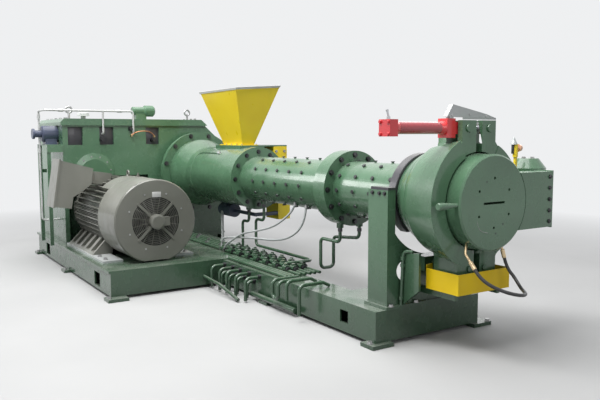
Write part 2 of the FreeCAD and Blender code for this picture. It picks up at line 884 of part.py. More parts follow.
def feed_roll():
    node("feed_roll_housing", block(
        "RollHousing", (z.roll_back, z.roll_front), (z.roll_near, z.roll_far), (z.roll_low, z.roll_high)))
    node("roll_guard", block(
        "RollGuard", (z.roll_guard_back, z.roll_guard_front), (z.roll_near + 10, z.roll_far - 10),
        (z.roll_guard_low, z.roll_low)))
    centre = (z.roll_shaft_y, z.roll_shaft_height)
    drum = turned("RollMotorDrum", "x", [
        (z.roll_motor_back, 0), (z.roll_motor_back, z.roll_motor_radius - 12),
        (z.roll_motor_back + 12, z.roll_motor_radius), (z.roll_motor_front, z.roll_motor_radius),
        (z.roll_motor_front, z.roll_shaft_radius), (z.roll_shaft_front, z.roll_shaft_radius),
        (z.roll_shaft_front, 0),
    ], centre)
    cross = bar("RollCrossShaft", "y", z.roll_shaft_radius, (z.roll_shaft_y, z.roll_near + 10),
                (z.roll_shaft_front - z.roll_shaft_radius, z.roll_shaft_height))
    middle = (z.roll_motor_back + z.roll_motor_front) / 2
    hanger = block("RollHanger", (middle - 60, middle + 60), (z.roll_shaft_y - 50, z.roll_shaft_y + 50),
                   (z.roll_shaft_height + 60, z.screw_axis_height - z.housing_radius + 40))
    seat = bar("RollHangerSeat", "x", z.housing_radius + z.running_gap, (middle - 80, middle + 80), AXIS)
    node("roll_drive", cut("RollDriveSeated", join("RollDrive", drum, cross, hanger), seat))


def barrels():
    seam = (z.middle_flange_back + z.middle_flange_front) / 2
    rear = turned("RearBarrelTurned", "x", [
        (z.housing_front, 0), (z.housing_front, z.barrel_radius),
        (z.middle_flange_back - z.collar_length, z.barrel_radius),
        (z.middle_flange_back - z.collar_length * 0.8, z.collar_radius), (z.middle_flange_back, z.collar_radius),
        (z.middle_flange_back, z.middle_flange_radius), (seam, z.middle_flange_radius), (seam, 0),
    ], AXIS)
    front = turned("FrontBarrelTurned", "x", [
        (seam, 0), (seam, z.middle_flange_radius), (z.middle_flange_front, z.middle_flange_radius),
        (z.middle_flange_front, z.barrel_radius), (z.ring_back, z.barrel_radius), (z.ring_back, 0),
    ], AXIS)
    for label, barrel, start, rows in (("rear_barrel", rear, z.rear_pin_start, 5),
                                       ("front_barrel", front, z.front_pin_start, 4)):
        pins = []
        for k in range(rows):
            for j, angle in enumerate(around(12)):
                pin = doc.addObject("Part::Cylinder", f"{label}Pin{k}_{j}")
                reach = z.barrel_radius - z.pin_depth
                bind(pin, Radius=z.pin_radius, Height=z.pin_depth + z.pin_stand_out)
                place(pin, start + z.pin_pitch * k, reach * cosine(angle),
                      z.screw_axis_height + reach * sine(angle),
                      Rotation(Vector(1, 0, 0), angle - 90))
                pins.append(pin)
        node(label, join(label + "Whole", barrel, *pins))


def end_ring():
    ring = turned("EndRing", "x", [
        (z.ring_back, 0), (z.ring_back, z.ring_radius - 20), (z.ring_back + 20, z.ring_radius),
        (z.ring_front, z.ring_radius), (z.ring_front, z.head_neck_radius),
        (z.joint_face - z.joint_flange, z.head_neck_radius),
        (z.joint_face - z.joint_flange, z.joint_flange_radius), (z.joint_face, z.joint_flange_radius),
        (z.joint_face, 0),
    ], AXIS)
    node("end_ring", ring)


def head():
    body = turned("HeadTurned", "x", [
        (z.joint_face, 0), (z.joint_face, z.joint_flange_radius),
        (z.joint_face + z.joint_flange, z.joint_flange_radius),
        (z.joint_face + z.joint_flange, z.head_neck_radius), (z.head_back, z.head_neck_radius),
        (z.head_back, z.head_radius), (-z.head_chamfer, z.head_radius),
        (0, z.head_radius - z.head_chamfer), (0, 0),
    ], AXIS)
    holes = bolt_ring("DieBolts", 6, 30, z.die_bolt_circle, z.die_bolt_radius, (-z.die_bolt_depth, 10))
    slot = block("DieSlot", (-z.slot_depth, 10), (-z.slot_half_width, z.slot_half_width),
                 (z.screw_axis_height - z.slot_height / 2, z.screw_axis_height + z.slot_height / 2))
    node("head_body", cut("Head", body, holes, slot))
    tip = -z.head_radius - z.handle_length
    root = -z.head_radius * 0.98
    grip = turned("Handle", "y", [
        (tip, 0), (tip, z.handle_tip_radius - 5), (tip + 8, z.handle_tip_radius),
        (tip + 45, z.handle_tip_radius), (-z.head_radius - 20, z.handle_root_radius),
        (root, z.handle_root_radius), (root, 0),
    ], (z.handle_x, z.screw_axis_height))
    seat = bar("HandleSeat", "x", z.head_radius + z.running_gap, (z.head_back, 0), AXIS)
    node("head_handle", cut("HandleSeated", grip, seat))


def clamp_half(side):
    """One half of the clamp: side is -1 for the motor's side and 1 for the other."""
    name = "Near" if side < 0 else "Far"
    axis_height = z.screw_axis_height
    tangent_y = z.clamp_radius * cosine(z.clamp_shoulder_angle)
    tangent_rise = z.clamp_radius * sine(z.clamp_shoulder_angle)
    ring = turned(name + "Ring", "x", [
        (z.clamp_back, 0), (z.clamp_back, z.clamp_rear_radius), (z.clamp_step, z.clamp_rear_radius),
        (z.clamp_step, z.clamp_radius), (z.clamp_front, z.clamp_radius), (z.clamp_front, 0),
    ], AXIS)
    neck = padded(name + "Neck", "x", [
        (0, z.clamp_neck_top), (side * z.clamp_neck_width, z.clamp_neck_top),
        (side * z.clamp_neck_width, z.clamp_shoulder_height),
        (side * tangent_y, axis_height + tangent_rise),
        (side * tangent_y, axis_height - tangent_rise),
        (side * z.clamp_foot_width, z.clamp_foot_shoulder),
        (side * z.clamp_foot_width, z.clamp_foot_height), (0, z.clamp_foot_height),
    ], (z.neck_back, z.clamp_front))
    inside = turned(name + "Inside", "x", [
        (z.clamp_back - 10, 0), (z.clamp_back - 10, z.clamp_lip_radius),
        (z.joint_face - z.joint_flange - z.moving_gap, z.clamp_lip_radius),
        (z.joint_face - z.joint_flange - z.moving_gap, z.clamp_groove_radius),
        (z.joint_face + z.joint_flange + z.moving_gap, z.clamp_groove_radius),
        (z.joint_face + z.joint_flange + z.moving_gap, z.clamp_lip_radius),
        (z.clamp_front - z.clamp_mouth, z.clamp_lip_radius), (z.clamp_front, z.clamp_mouth_radius),
        (z.clamp_front + 10, z.clamp_mouth_radius + 10), (z.clamp_front + 10, 0),
    ], AXIS)
    reach = z.clamp_radius + 300
    split = (-reach, z.clamp_gap) if side > 0 else (-z.clamp_gap, reach)
    other_side = block(name + "Split", (z.clamp_back - 10, z.clamp_front + 20), split, (0, z.clamp_neck_top + 20))
    slot_half = z.nose_half_width + 2 * z.moving_gap
    slot = block(name + "LugSlot", (z.cylinder_x - slot_half, z.cylinder_x + slot_half),
                 (-reach, reach), (z.clamp_cheek_floor, z.clamp_neck_top + 20))
    lug_hole = bar(name + "LugHole", "x", z.trunnion_radius + 0.05, (z.neck_back - 10, z.clamp_front + 10),
                   (side * z.trunnion_y, z.cylinder_height))
    foot_hole = bar(name + "FootHole", "x", z.pivot_radius + 0.05, (z.neck_back - 10, z.clamp_front + 10),
                    (side * z.pivot_y, z.pivot_height))
    whole = join(name + "Whole", ring, neck)
    label = "clamp_half_near" if side < 0 else "clamp_half_far"
    return node(label, cut(name + "Half", whole, inside, other_side, slot, lug_hole, foot_hole))


def clamp_pins():
    block_back = z.stand_front
    carrier = block("PivotBlock", (block_back, z.clamp_back - z.moving_gap),
                    (-z.pivot_block_half, z.pivot_block_half), (z.pivot_height - z.pivot_block_under, z.pivot_height + z.pivot_block_over))
    pins = []
    for k, side in enumerate((-1, 1)):
        pins.append(bar(f"PivotPin{k}", "x", z.pivot_radius, (block_back, z.clamp_front + 12),
                        (side * z.pivot_y, z.pivot_height)))
    node("clamp_pivots", join("Pivots", carrier, *pins))


def clamp_cylinder():
    """Hydraulic cylinder hung on a trunnion in the near lug, its rod pinned in the far lug."""
    height = z.cylinder_height
    x = z.cylinder_x
    rear = z.rear_cap_size / 2
    front = z.front_cap_size / 2
    front_half = z.front_cap_width / 2
    rear_end = z.cylinder_rear + z.rear_cap_length
    front_start = z.cylinder_front - z.front_cap_length
    rear_cap = block("RearCap", (x - rear, x + rear), (z.cylinder_rear, rear_end),
                     (height - rear, height + rear))
    front_cap = block("FrontCap", (x - front_half, x + front_half), (front_start, z.cylinder_front),
                      (height - front, height + front))
    tube = turned("CylinderTube", "y", [
        (rear_end - 5, 0), (rear_end - 5, z.tube_collar), (rear_end + 8, z.tube_collar),
        (rear_end + z.tube_collar_length, z.tube_radius), (front_start - z.tube_collar_length, z.tube_radius),
        (front_start - 8, z.tube_collar), (front_start + 5, z.tube_collar), (front_start + 5, 0),
    ], (x, height))
    nose = block("CylinderNose", (x - z.nose_half_width, x + z.nose_half_width),
                 (z.cylinder_front - 5, -z.trunnion_y + z.nose_half_height),
                 (height - z.nose_half_height, height + z.nose_half_height))
    trunnion = bar("Trunnion", "x", z.trunnion_radius, (z.neck_back - 4, z.clamp_front + 4),
                   (-z.trunnion_y, height))
    bore = bar("CylinderBore", "y", z.tube_bore, (rear_end, front_start), (x, height))
    rod_bore = bar("RodBore", "y", z.rod_radius + 0.5, (front_start - 10, 0), (x, height))
    whole = join("CylinderWhole", rear_cap, front_cap, tube, nose, trunnion)
    node("clamp_cylinder", cut("Cylinder", whole, bore, rod_bore))
    rod = bar("Rod", "y", z.rod_radius, (z.rod_end, z.trunnion_y), (x, height))
    piston = bar("Piston", "y", z.tube_bore - 0.5, (z.rod_end, z.rod_end + z.piston_length), (x, height))
    eye = block("RodEye", (x - z.nose_half_width, x + z.nose_half_width),
                (z.trunnion_y - z.nose_half_height, z.trunnion_y + z.nose_half_height),
                (height - z.nose_half_height, height + z.nose_half_height))
    rod_pin = bar("RodPin", "x", z.trunnion_radius, (z.neck_back - 4, z.clamp_front + 4),
                  (z.trunnion_y, height))
    node("clamp_rod", join("RodWhole", rod, piston, eye, rod_pin))


def clamp_guard():
    """A folded sheet that stands on the cylinder's front cap and covers the rod and the lugs' slots."""
    back = z.guard_front - z.guard_depth
    top = [
        (z.guard_left, z.guard_left_height), (z.guard_peak, z.guard_peak_height),
        (z.guard_bend, z.guard_bend_height), (z.guard_right, z.guard_right_height),
    ]
    under = [(y, height - z.guard_sheet * 1.4) for y, height in reversed(top)]
    roof = padded("GuardRoof", "x", top + under, (back, z.guard_front))
    front = padded("GuardFront", "x", top + [
        (z.cylinder_front + 12, z.cylinder_height + z.front_cap_size / 2 + 8),
    ], (z.guard_front - z.guard_sheet, z.guard_front))
    cap_top = z.cylinder_height + z.front_cap_size / 2
    middle = z.cylinder_front - z.front_cap_length / 2
    half = z.guard_leg_width / 2
    leg = block("GuardLeg", (z.guard_front - z.guard_depth / 2 - half, z.guard_front), (middle - half, middle + half),
                (cap_top, z.guard_left_height + 20))
    node("clamp_guard", join("Guard", roof, front, leg))


def head_hinge():
    """The arm that carries the head, and the post it would swing about."""
    arm = padded("ArmPlate", "x", [
        (z.head_radius * 0.6, z.arm_low), (z.arm_far, z.arm_low), (z.arm_far, z.arm_high),
        (z.head_radius * 0.6, z.arm_high),
    ], (z.arm_back, z.arm_front))
    bore = bar("ArmBore", "x", z.head_radius, (z.arm_back - 10, z.arm_front + 10), AXIS)
    end = block("ArmEnd", (z.arm_back, z.arm_front), (z.arm_far, z.arm_far + z.arm_end_plate),
                (z.arm_low - 6, z.arm_high + 6))
    node("hinge_arm", join("Arm", cut("ArmBored", arm, bore), end))
    post = turned("Post", "z", [
        (z.post_low, 0), (z.post_low, z.post_radius), (z.post_shoulder, z.post_radius),
        (z.post_high, z.post_top_radius), (z.post_high, 0),
    ], (z.post_x, z.post_y))
    node("hinge_post", post)
    seat = bar("PostSeat", "z", z.post_radius + z.running_gap, (z.post_low - 20, z.post_high + 20),
               (z.post_x, z.post_y))
    carrier_back = z.switch_x - z.switch_size
    carrier = block("Carrier", (carrier_back, z.arm_back), (z.carrier_near, z.arm_far),
                    (z.arm_low + 20, z.arm_high - 30))
    half = z.switch_size / 2
    node("limit_switch", block("SwitchPost", (z.switch_x - half, z.switch_x + half),
                               (z.switch_y - half, z.switch_y + half), (z.arm_high - 30, z.switch_height)))
    stand_half = z.stand_half_width
    bracket = padded("HingeBracket", "z", [
        (z.stand_back + 50, stand_half), (z.stand_front - 16, stand_half), (z.stand_front - 16, z.carrier_near),
        (z.post_x, z.carrier_near), (z.post_x, z.post_y), (z.stand_back + 50, z.carrier_near + 60),
    ], (z.bracket_low, z.bracket_high))
    node("hinge_brackets", together("HingeBrackets", cut("CarrierSeated", carrier, seat),
                                    cut("BracketSeated", bracket, seat)))


def drip_tray():
    wall = z.tray_wall
    outer = block("TrayOuter", (z.tray_back, z.tray_front), (z.tray_near, z.tray_far), (z.tray_low, z.tray_high))
    inner = block("TrayInner", (z.tray_back + wall, z.tray_front - wall), (z.tray_near + wall, z.tray_far - wall),
                  (z.tray_low + wall, z.tray_high + 10))
    notch = block("TrayNotch", (z.tray_back - 10, z.tray_back + wall + 1),
                  (z.tray_near + z.tray_tab_width, z.tray_far + 10), (z.tray_back_height, z.tray_high + 10))
    tab = block("TrayTab", (z.tray_back, z.tray_back + wall), (z.tray_near, z.tray_near + z.tray_tab_width),
                (z.tray_high - 10, z.tray_high + z.tray_tab_rise))
    node("drip_tray", join("TrayWhole", cut("Tray", outer, inner, notch), tab))
    legs = []
    for k, y in enumerate((z.tray_near + 30, z.tray_far - 60)):
        legs.append(block(f"TrayLeg{k}", (z.stand_front, z.tray_front - 60), (y, y + 30),
                          (z.tray_low - 50, z.tray_low)))
    node("tray_rails", together("TrayRails", *legs))


def barrel_stand():
    half = z.stand_half_width
    base = z.frame_top
    columns = []
    for k, side in enumerate((-1, 1)):
        y = (-half, -half + z.stand_column) if side < 0 else (half - z.stand_column, half)
        columns.append(block(f"Column{k}", (z.stand_back, z.stand_front), y, (base + z.stand_foot, z.stand_high)))
    web = block("Web", (z.stand_front - z.stand_web, z.stand_front), (-half, half), (base + z.stand_foot, z.stand_high))
    saddle = bar("Saddle", "x", z.screw_axis_height - z.stand_saddle_low,
                 (z.stand_front - z.stand_web - 10, z.stand_front + 10), AXIS)
    saddle_clip = block("SaddleClip", (z.stand_front - z.stand_web - 20, z.stand_front + 20),
                        (-half + z.stand_column, half - z.stand_column), (0, z.stand_high + 20))
    holes = []
    for k, side in enumerate((-1, 1)):
        holes.append(bar(f"WebHole{k}", "x", z.stand_hole_radius,
                         (z.stand_front - z.stand_web - 10, z.stand_front + 10),
                         (side * z.stand_hole_y, z.stand_hole_height)))
    foot = block("StandFoot", (z.stand_back - 20, z.stand_front + 20), (-half - 20, half + 20),
                 (base, base + z.stand_foot))
    web_cut = cut("WebCut", web, common("SaddleArea", saddle, saddle_clip), *holes)
    gussets = []
    for k, side in enumerate((-1, 1)):
        middle = side * z.gusset_y
        tip = z.stand_front + z.gusset_length
        gussets.append(padded(f"Gusset{k}", "y", [
            (z.stand_front, base + z.stand_foot), (z.stand_front + z.gusset_thickness, base + z.stand_foot),
            (tip, z.gusset_front_low), (tip, z.gusset_front_high), (z.stand_front, z.gusset_back_high),
        ], (middle - z.gusset_thickness / 2, middle + z.gusset_thickness / 2)))
    node("barrel_stand", join("Stand", foot, web_cut, *columns, *gussets))
    brackets = []
    for k, side in enumerate((-1, 1)):
        y = (-half, -half + z.stand_column) if side < 0 else (half - z.stand_column, half)
        brackets.append(block(f"StandBracket{k}", (z.stand_back + 30, z.ring_back - z.running_gap), y,
                              (z.stand_high, z.stand_high + z.stand_plate)))
    node("stand_brackets", together("StandBrackets", *brackets))


def motor():
    centre = (z.motor_y, z.motor_height)
    bell = z.motor_radius + z.bell_rim
    rim = [(z.motor_back + z.bell_round * (1 - cosine(a)), bell - z.bell_round * (1 - sine(a)))
           for a in (0, 30, 60, 90)]
    core = turned("MotorCore", "x", [
        (z.motor_back, 0), *rim, (z.bell_start, bell), (z.bell_start, z.motor_radius),
        (z.cowl_back + 40, z.motor_radius), (z.motor_inner_end, z.motor_radius - 60),
        (z.motor_inner_end, 0),
    ], centre)
    fins = []
    for k, angle in enumerate(around(int(z.fin_count.number), 4.5)):
        fin = doc.addObject("Part::Box", f"Fin{k}")
        low = z.motor_radius - 20
        bind(fin, Length=z.cowl_back - z.bell_start, Width=z.fin_thickness, Height=z.fin_radius - low)
        lean = Rotation(Vector(1, 0, 0), angle - 90)
        fin.Placement = FreeCAD.Placement(Vector(0, 0, 0), lean)
        half = z.fin_thickness / 2
        bind(fin,
             Placement__Base__x=z.die_face_x + z.bell_start,
             Placement__Base__y=z.screw_axis_y + z.motor_y + low * cosine(angle) - half * sine(angle),
             Placement__Base__z=z.motor_height + low * sine(angle) + half * cosine(angle))
        fins.append(fin)
    box_seat = leaning_block("BoxSeat", (z.box_back + 60, z.box_front - 60),
                             (z.box_width, z.box_width + z.box_seat_reach), (z.box_waist + 5, z.box_shoulder - 32))
    node("motor_body", join("MotorWhole", core, box_seat, *fins))

    cowl = turned("CowlTurned", "x", [
        (z.cowl_back, z.fin_radius + 1), (z.cowl_back, z.cowl_radius), (z.motor_face - 10, z.cowl_radius),
        (z.motor_face, z.cowl_radius - 10), (z.motor_face, z.cowl_opening),
        (z.motor_face - z.cowl_sheet, z.cowl_opening), (z.motor_face - z.cowl_sheet, z.cowl_radius - z.cowl_sheet),
        (z.cowl_back + z.cowl_sheet, z.cowl_radius - z.cowl_sheet),
        (z.cowl_back + z.cowl_sheet, z.fin_radius + 1),
    ], centre)
    foot_cut = block("CowlFlat", (z.cowl_back - 10, z.motor_face + 10),
                     (z.motor_y - 500, z.motor_y + 500), (0, z.motor_height - z.cowl_flat))
    node("motor_cowl", cut("Cowl", cowl, foot_cut))

    length = z.fan_motor_length
    drum = turned("FanMotorDrum", "x", [
        (z.motor_face - 90, 0), (z.motor_face - 90, z.fan_motor_radius),
        (z.motor_face - 90 + length, z.fan_motor_radius), (z.motor_face - 80 + length, z.fan_motor_radius - 20),
        (z.motor_face - 80 + length, 0),
    ], centre)
    struts = []
    for k, angle in enumerate((45, 135, 225, 315)):
        strut = doc.addObject("Part::Box", f"Strut{k}")
        low = z.fan_motor_radius - 10
        bind(strut, Length=z.strut_thickness, Width=z.strut_width, Height=z.cowl_opening + 20 - low)
        strut.Placement = FreeCAD.Placement(Vector(0, 0, 0), Rotation(Vector(1, 0, 0), angle - 90))
        half = z.strut_width / 2
        bind(strut,
             Placement__Base__x=z.die_face_x + z.motor_face,
             Placement__Base__y=z.screw_axis_y + z.motor_y + low * cosine(angle) - half * sine(angle),
             Placement__Base__z=z.motor_height + low * sine(angle) + half * cosine(angle))
        struts.append(strut)
    junction = block("FanMotorBox", (z.motor_face - 20, z.motor_face + 55), (z.motor_y + 60, z.motor_y + 130),
                     (z.motor_height - 45, z.motor_height + 45))
    shaft = bar("FanShaft", "x", z.fan_shaft_radius, (z.fan_back, z.motor_face - 80), centre)
    node("fan_motor", join("FanMotor", drum, junction, shaft, *struts))

    hub = bar("FanHub", "x", z.fan_hub_radius, (z.fan_back, z.fan_front), centre)
    blades = []
    for k, angle in enumerate(around(int(z.fan_blades.number))):
        blade = doc.addObject("Part::Box", f"Blade{k}")
        low = z.fan_hub_radius - 6
        bind(blade, Length=z.fan_front - z.fan_back - 10, Width=z.fan_blade_thickness, Height=z.fan_radius - low)
        turn = Rotation(Vector(1, 0, 0), angle - 90)
        twist = Rotation(Vector(0, 0, 1), z.fan_pitch.number)
        blade.Placement = FreeCAD.Placement(Vector(0, 0, 0), turn * twist)
        bind(blade,
             Placement__Base__x=z.die_face_x + z.fan_back + 5,
             Placement__Base__y=z.screw_axis_y + z.motor_y + low * cosine(angle),
             Placement__Base__z=z.motor_height + low * sine(angle))
        blades.append(blade)
    fan_bore = bar("FanBore", "x", z.fan_shaft_radius + 0.05, (z.fan_back - 10, z.fan_front + 10), centre)
    node("cooling_fan", cut("Fan", join("FanWhole", hub, *blades), fan_bore))

    feet = []
    for k, side in enumerate((-1, 1)):
        section = [
            (z.motor_y + side * z.foot_reach, z.drive_top + z.foot_plate),
            (z.motor_y + side * z.foot_top_reach, z.drive_top + z.foot_plate + z.foot_height),
            (z.motor_y + side * (z.foot_top_reach - 40), z.drive_top + z.foot_plate + z.foot_height),
            (z.motor_y + side * (z.foot_top_reach - 40), z.drive_top + z.foot_plate),
        ]
        foot = padded(f"Foot{k}", "x", section, (z.bell_start, z.cowl_back - 60))
        windows = []
        pitch = (z.cowl_back - 60 - z.bell_start) / 5
        for j in range(5):
            low_x = z.bell_start + pitch * j + (pitch - z.window_width) / 2
            windows.append(block(f"FootWindow{k}{j}", (low_x, low_x + z.window_width),
                                 (z.motor_y + side * z.foot_reach - 200, z.motor_y + side * z.foot_reach + 200),
                                 (z.drive_top + z.foot_plate + z.window_low,
                                  z.drive_top + z.foot_plate + z.window_high)))
        feet.append(cut(f"FootCut{k}", foot, *windows))
    cradle = bar("FootCradle", "x", z.fin_radius + z.running_gap, (z.motor_back, z.cowl_back), centre)
    node("motor_feet", cut("Feet", together("FeetPair", *feet), cradle))
    rails = []
    for k, side in enumerate((-1, 1)):
        y = z.motor_y + side * (z.foot_reach - 90)
        rails.append(block(f"MotorRail{k}", (z.foot_back, z.foot_front), (y - 105, y + 105),
                           (z.drive_top, z.drive_top + z.foot_plate)))
    node("motor_rails", together("MotorRails", *rails))


def leaning(across, up):
    """Place and height of a point in the terminal box's own leaning directions, from its low near corner."""
    lean = z.box_lean
    return (z.box_corner_y + across * cosine(lean) - up * sine(lean),
            z.box_corner_height + across * sine(lean) + up * cosine(lean))


def leaning_block(name, x, across, up):
    """A box in the terminal box's own leaning directions."""
    thing = doc.addObject("Part::Box", name)
    bind(thing, Length=lift(x[1]) - x[0], Width=lift(across[1]) - across[0], Height=lift(up[1]) - up[0])
    return place(thing, x[0], *leaning(across[0], up[0]), Rotation(Vector(1, 0, 0), z.box_lean.number))


def terminal_box():
    """A leaning box whose lower far corner is cut back over the motor's fins."""
    zero = lift(0)
    outline = [
        leaning(zero, zero), leaning(z.box_foot_width, zero), leaning(z.box_foot_width, z.box_notch_low),
        leaning(z.box_notch_side, z.box_notch_high), leaning(z.box_width, z.box_waist),
        leaning(z.box_width, z.box_shoulder), leaning(zero, z.box_height),
    ]
    node("terminal_box", padded("TerminalBox", "x", outline, (z.box_back, z.box_front)))
    node("terminal_lid", leaning_block(
        "TerminalLid", (z.box_back - 12, z.box_front + 12), (-z.box_lid, zero),
        (-z.lid_drop, z.box_height + 14)))


def coupling():
    half = z.coupling_half_width
    node("coupling_guard", block("CouplingGuard", (z.case_recess_back, z.motor_back - 4),
                                 (z.motor_y - half, z.motor_y + half), (z.drive_top, z.motor_height + half)))


def pump_unit():
    near_side = z.case_near
    top = z.shelf_height + z.shelf_plate
    shelf = block("Shelf", (z.shelf_back, z.shelf_front), (z.shelf_near, near_side), (z.shelf_height, top))
    lip = block("ShelfLip", (z.shelf_front - z.shelf_plate, z.shelf_front), (z.shelf_near, near_side),
                (top - z.shelf_lip, top))
    legs = []
    bars = []
    for k, x in enumerate((z.shelf_back + 5, z.shelf_front - z.shelf_plate - z.leg_size)):
        legs.append(block(f"ShelfLeg{k}", (x, x + z.leg_size), (z.shelf_near, z.shelf_near + z.leg_size),
                          (z.drive_top, z.shelf_height)))
        bars.append(block(f"ShelfBar{k}", (x, x + 14), (z.shelf_near, near_side),
                          (z.shelf_bar_height, z.shelf_bar_height + z.leg_size)))
    node("pump_stand", join("PumpStand", shelf, lip, *bars, *legs))
    neck = z.pump_radius * 0.43
    pump = turned("PumpTurned", "y", [
        (z.pump_tail, 0), (z.pump_tail, z.pump_tail_radius), (z.pump_tail + 25, z.pump_tail_radius),
        (z.pump_tail + 25, neck), (z.pump_near - 12, neck), (z.pump_near - 12, z.pump_radius - 12),
        (z.pump_near, z.pump_radius), (near_side, z.pump_radius), (near_side, 0),
    ], (z.pump_x, z.pump_height))
    pump_foot = block("PumpFoot", (z.pump_x - 80, z.pump_x + 80), (z.pump_near + 20, near_side - 20),
                      (top, z.pump_height - 60))
    node("oil_pump", join("OilPump", pump, pump_foot))

    radius = z.pipe_radius.number
    bend = 3 * radius
    high = z.manifold_height.number
    x = z.pump_x.number
    y = z.pipe_stand_off.number
    front = z.manifold_x.number
    beside_pump = z.pump_height.number
    side = near_side.number
    neck_gap = neck.number + z.running_gap.number
    suction = pipe("SuctionPipe", [
        from_machine(x, y, beside_pump - neck_gap), from_machine(x, y, z.suction_height.number),
        from_machine(x, side, z.suction_height.number)], radius, bend)
    riser = pipe("RiserPipe", [
        from_machine(x, y, beside_pump + neck_gap), from_machine(x, y, high), from_machine(front, y, high),
        from_machine(front, z.riser_y.number, high),
        from_machine(front, z.riser_y.number, z.inlet_height.number),
        from_machine(z.case_front.number, z.riser_y.number, z.inlet_height.number)], radius, bend)
    drop = pipe("DropPipe", [
        from_machine(front, z.drop_y.number, high), from_machine(front, z.drop_y.number, z.inlet_height.number),
        from_machine(z.case_front.number - z.pocket_depth.number, z.drop_y.number, z.inlet_height.number)],
        radius, 20)
    node("oil_pipes", together("OilPipes", suction, join("PressurePipes", riser, drop)))


def oil_parts():
    """What stands on the gearbox lid: oil filter, breather cap and lifting eyes."""
    top = z.lid_top
    middle = (z.filter_near + z.filter_far) / 2
    filter_body = turned("FilterTurned", "y", [
        (z.filter_near, 0), (z.filter_near, z.filter_radius - 8), (z.filter_near + 8, z.filter_radius),
        (middle, z.filter_radius), (middle + 20, z.filter_end_radius),
        (z.filter_far - 20, z.filter_end_radius), (z.filter_far, z.filter_radius), (z.filter_far, 0),
    ], (z.filter_x, top + z.filter_rise))
    saddle = block("FilterFoot", (z.filter_x - 40, z.filter_x + 40), (z.filter_near + 40, middle + 30),
                   (top, top + z.filter_rise - 30))
    node("oil_filter", join("OilFilter", filter_body, saddle))
    cap = z.breather_radius
    crown = top + z.breather_rise
    node("breather", turned("Breather", "z", [
        (top, 0), (top, cap * 0.4), (crown - cap * 0.6, cap * 0.4), (crown - cap * 0.6, cap),
        (crown - cap * 0.15, cap * 0.95), (crown, cap * 0.55), (crown, 0),
    ], (z.breather_x, z.breather_y)))
    eyes = []
    for k, (x, y) in enumerate(((z.eye_front, z.eye_far), (z.eye_corner, z.eye_near))):
        stem = bar(f"EyeStem{k}", "z", z.eye_thickness + 2, (top, top + z.eye_stem), (x, y))
        ring = doc.addObject("Part::Torus", f"EyeRing{k}")
        bind(ring, Radius1=z.eye_radius, Radius2=z.eye_thickness)
        place(ring, x, y, top + z.eye_stem - 7 + z.eye_radius, Rotation(Vector(0, 1, 0), 90))
        eyes.append(join(f"Eye{k}", stem, ring))
    node("lifting_eyes", together("Eyes", *eyes))


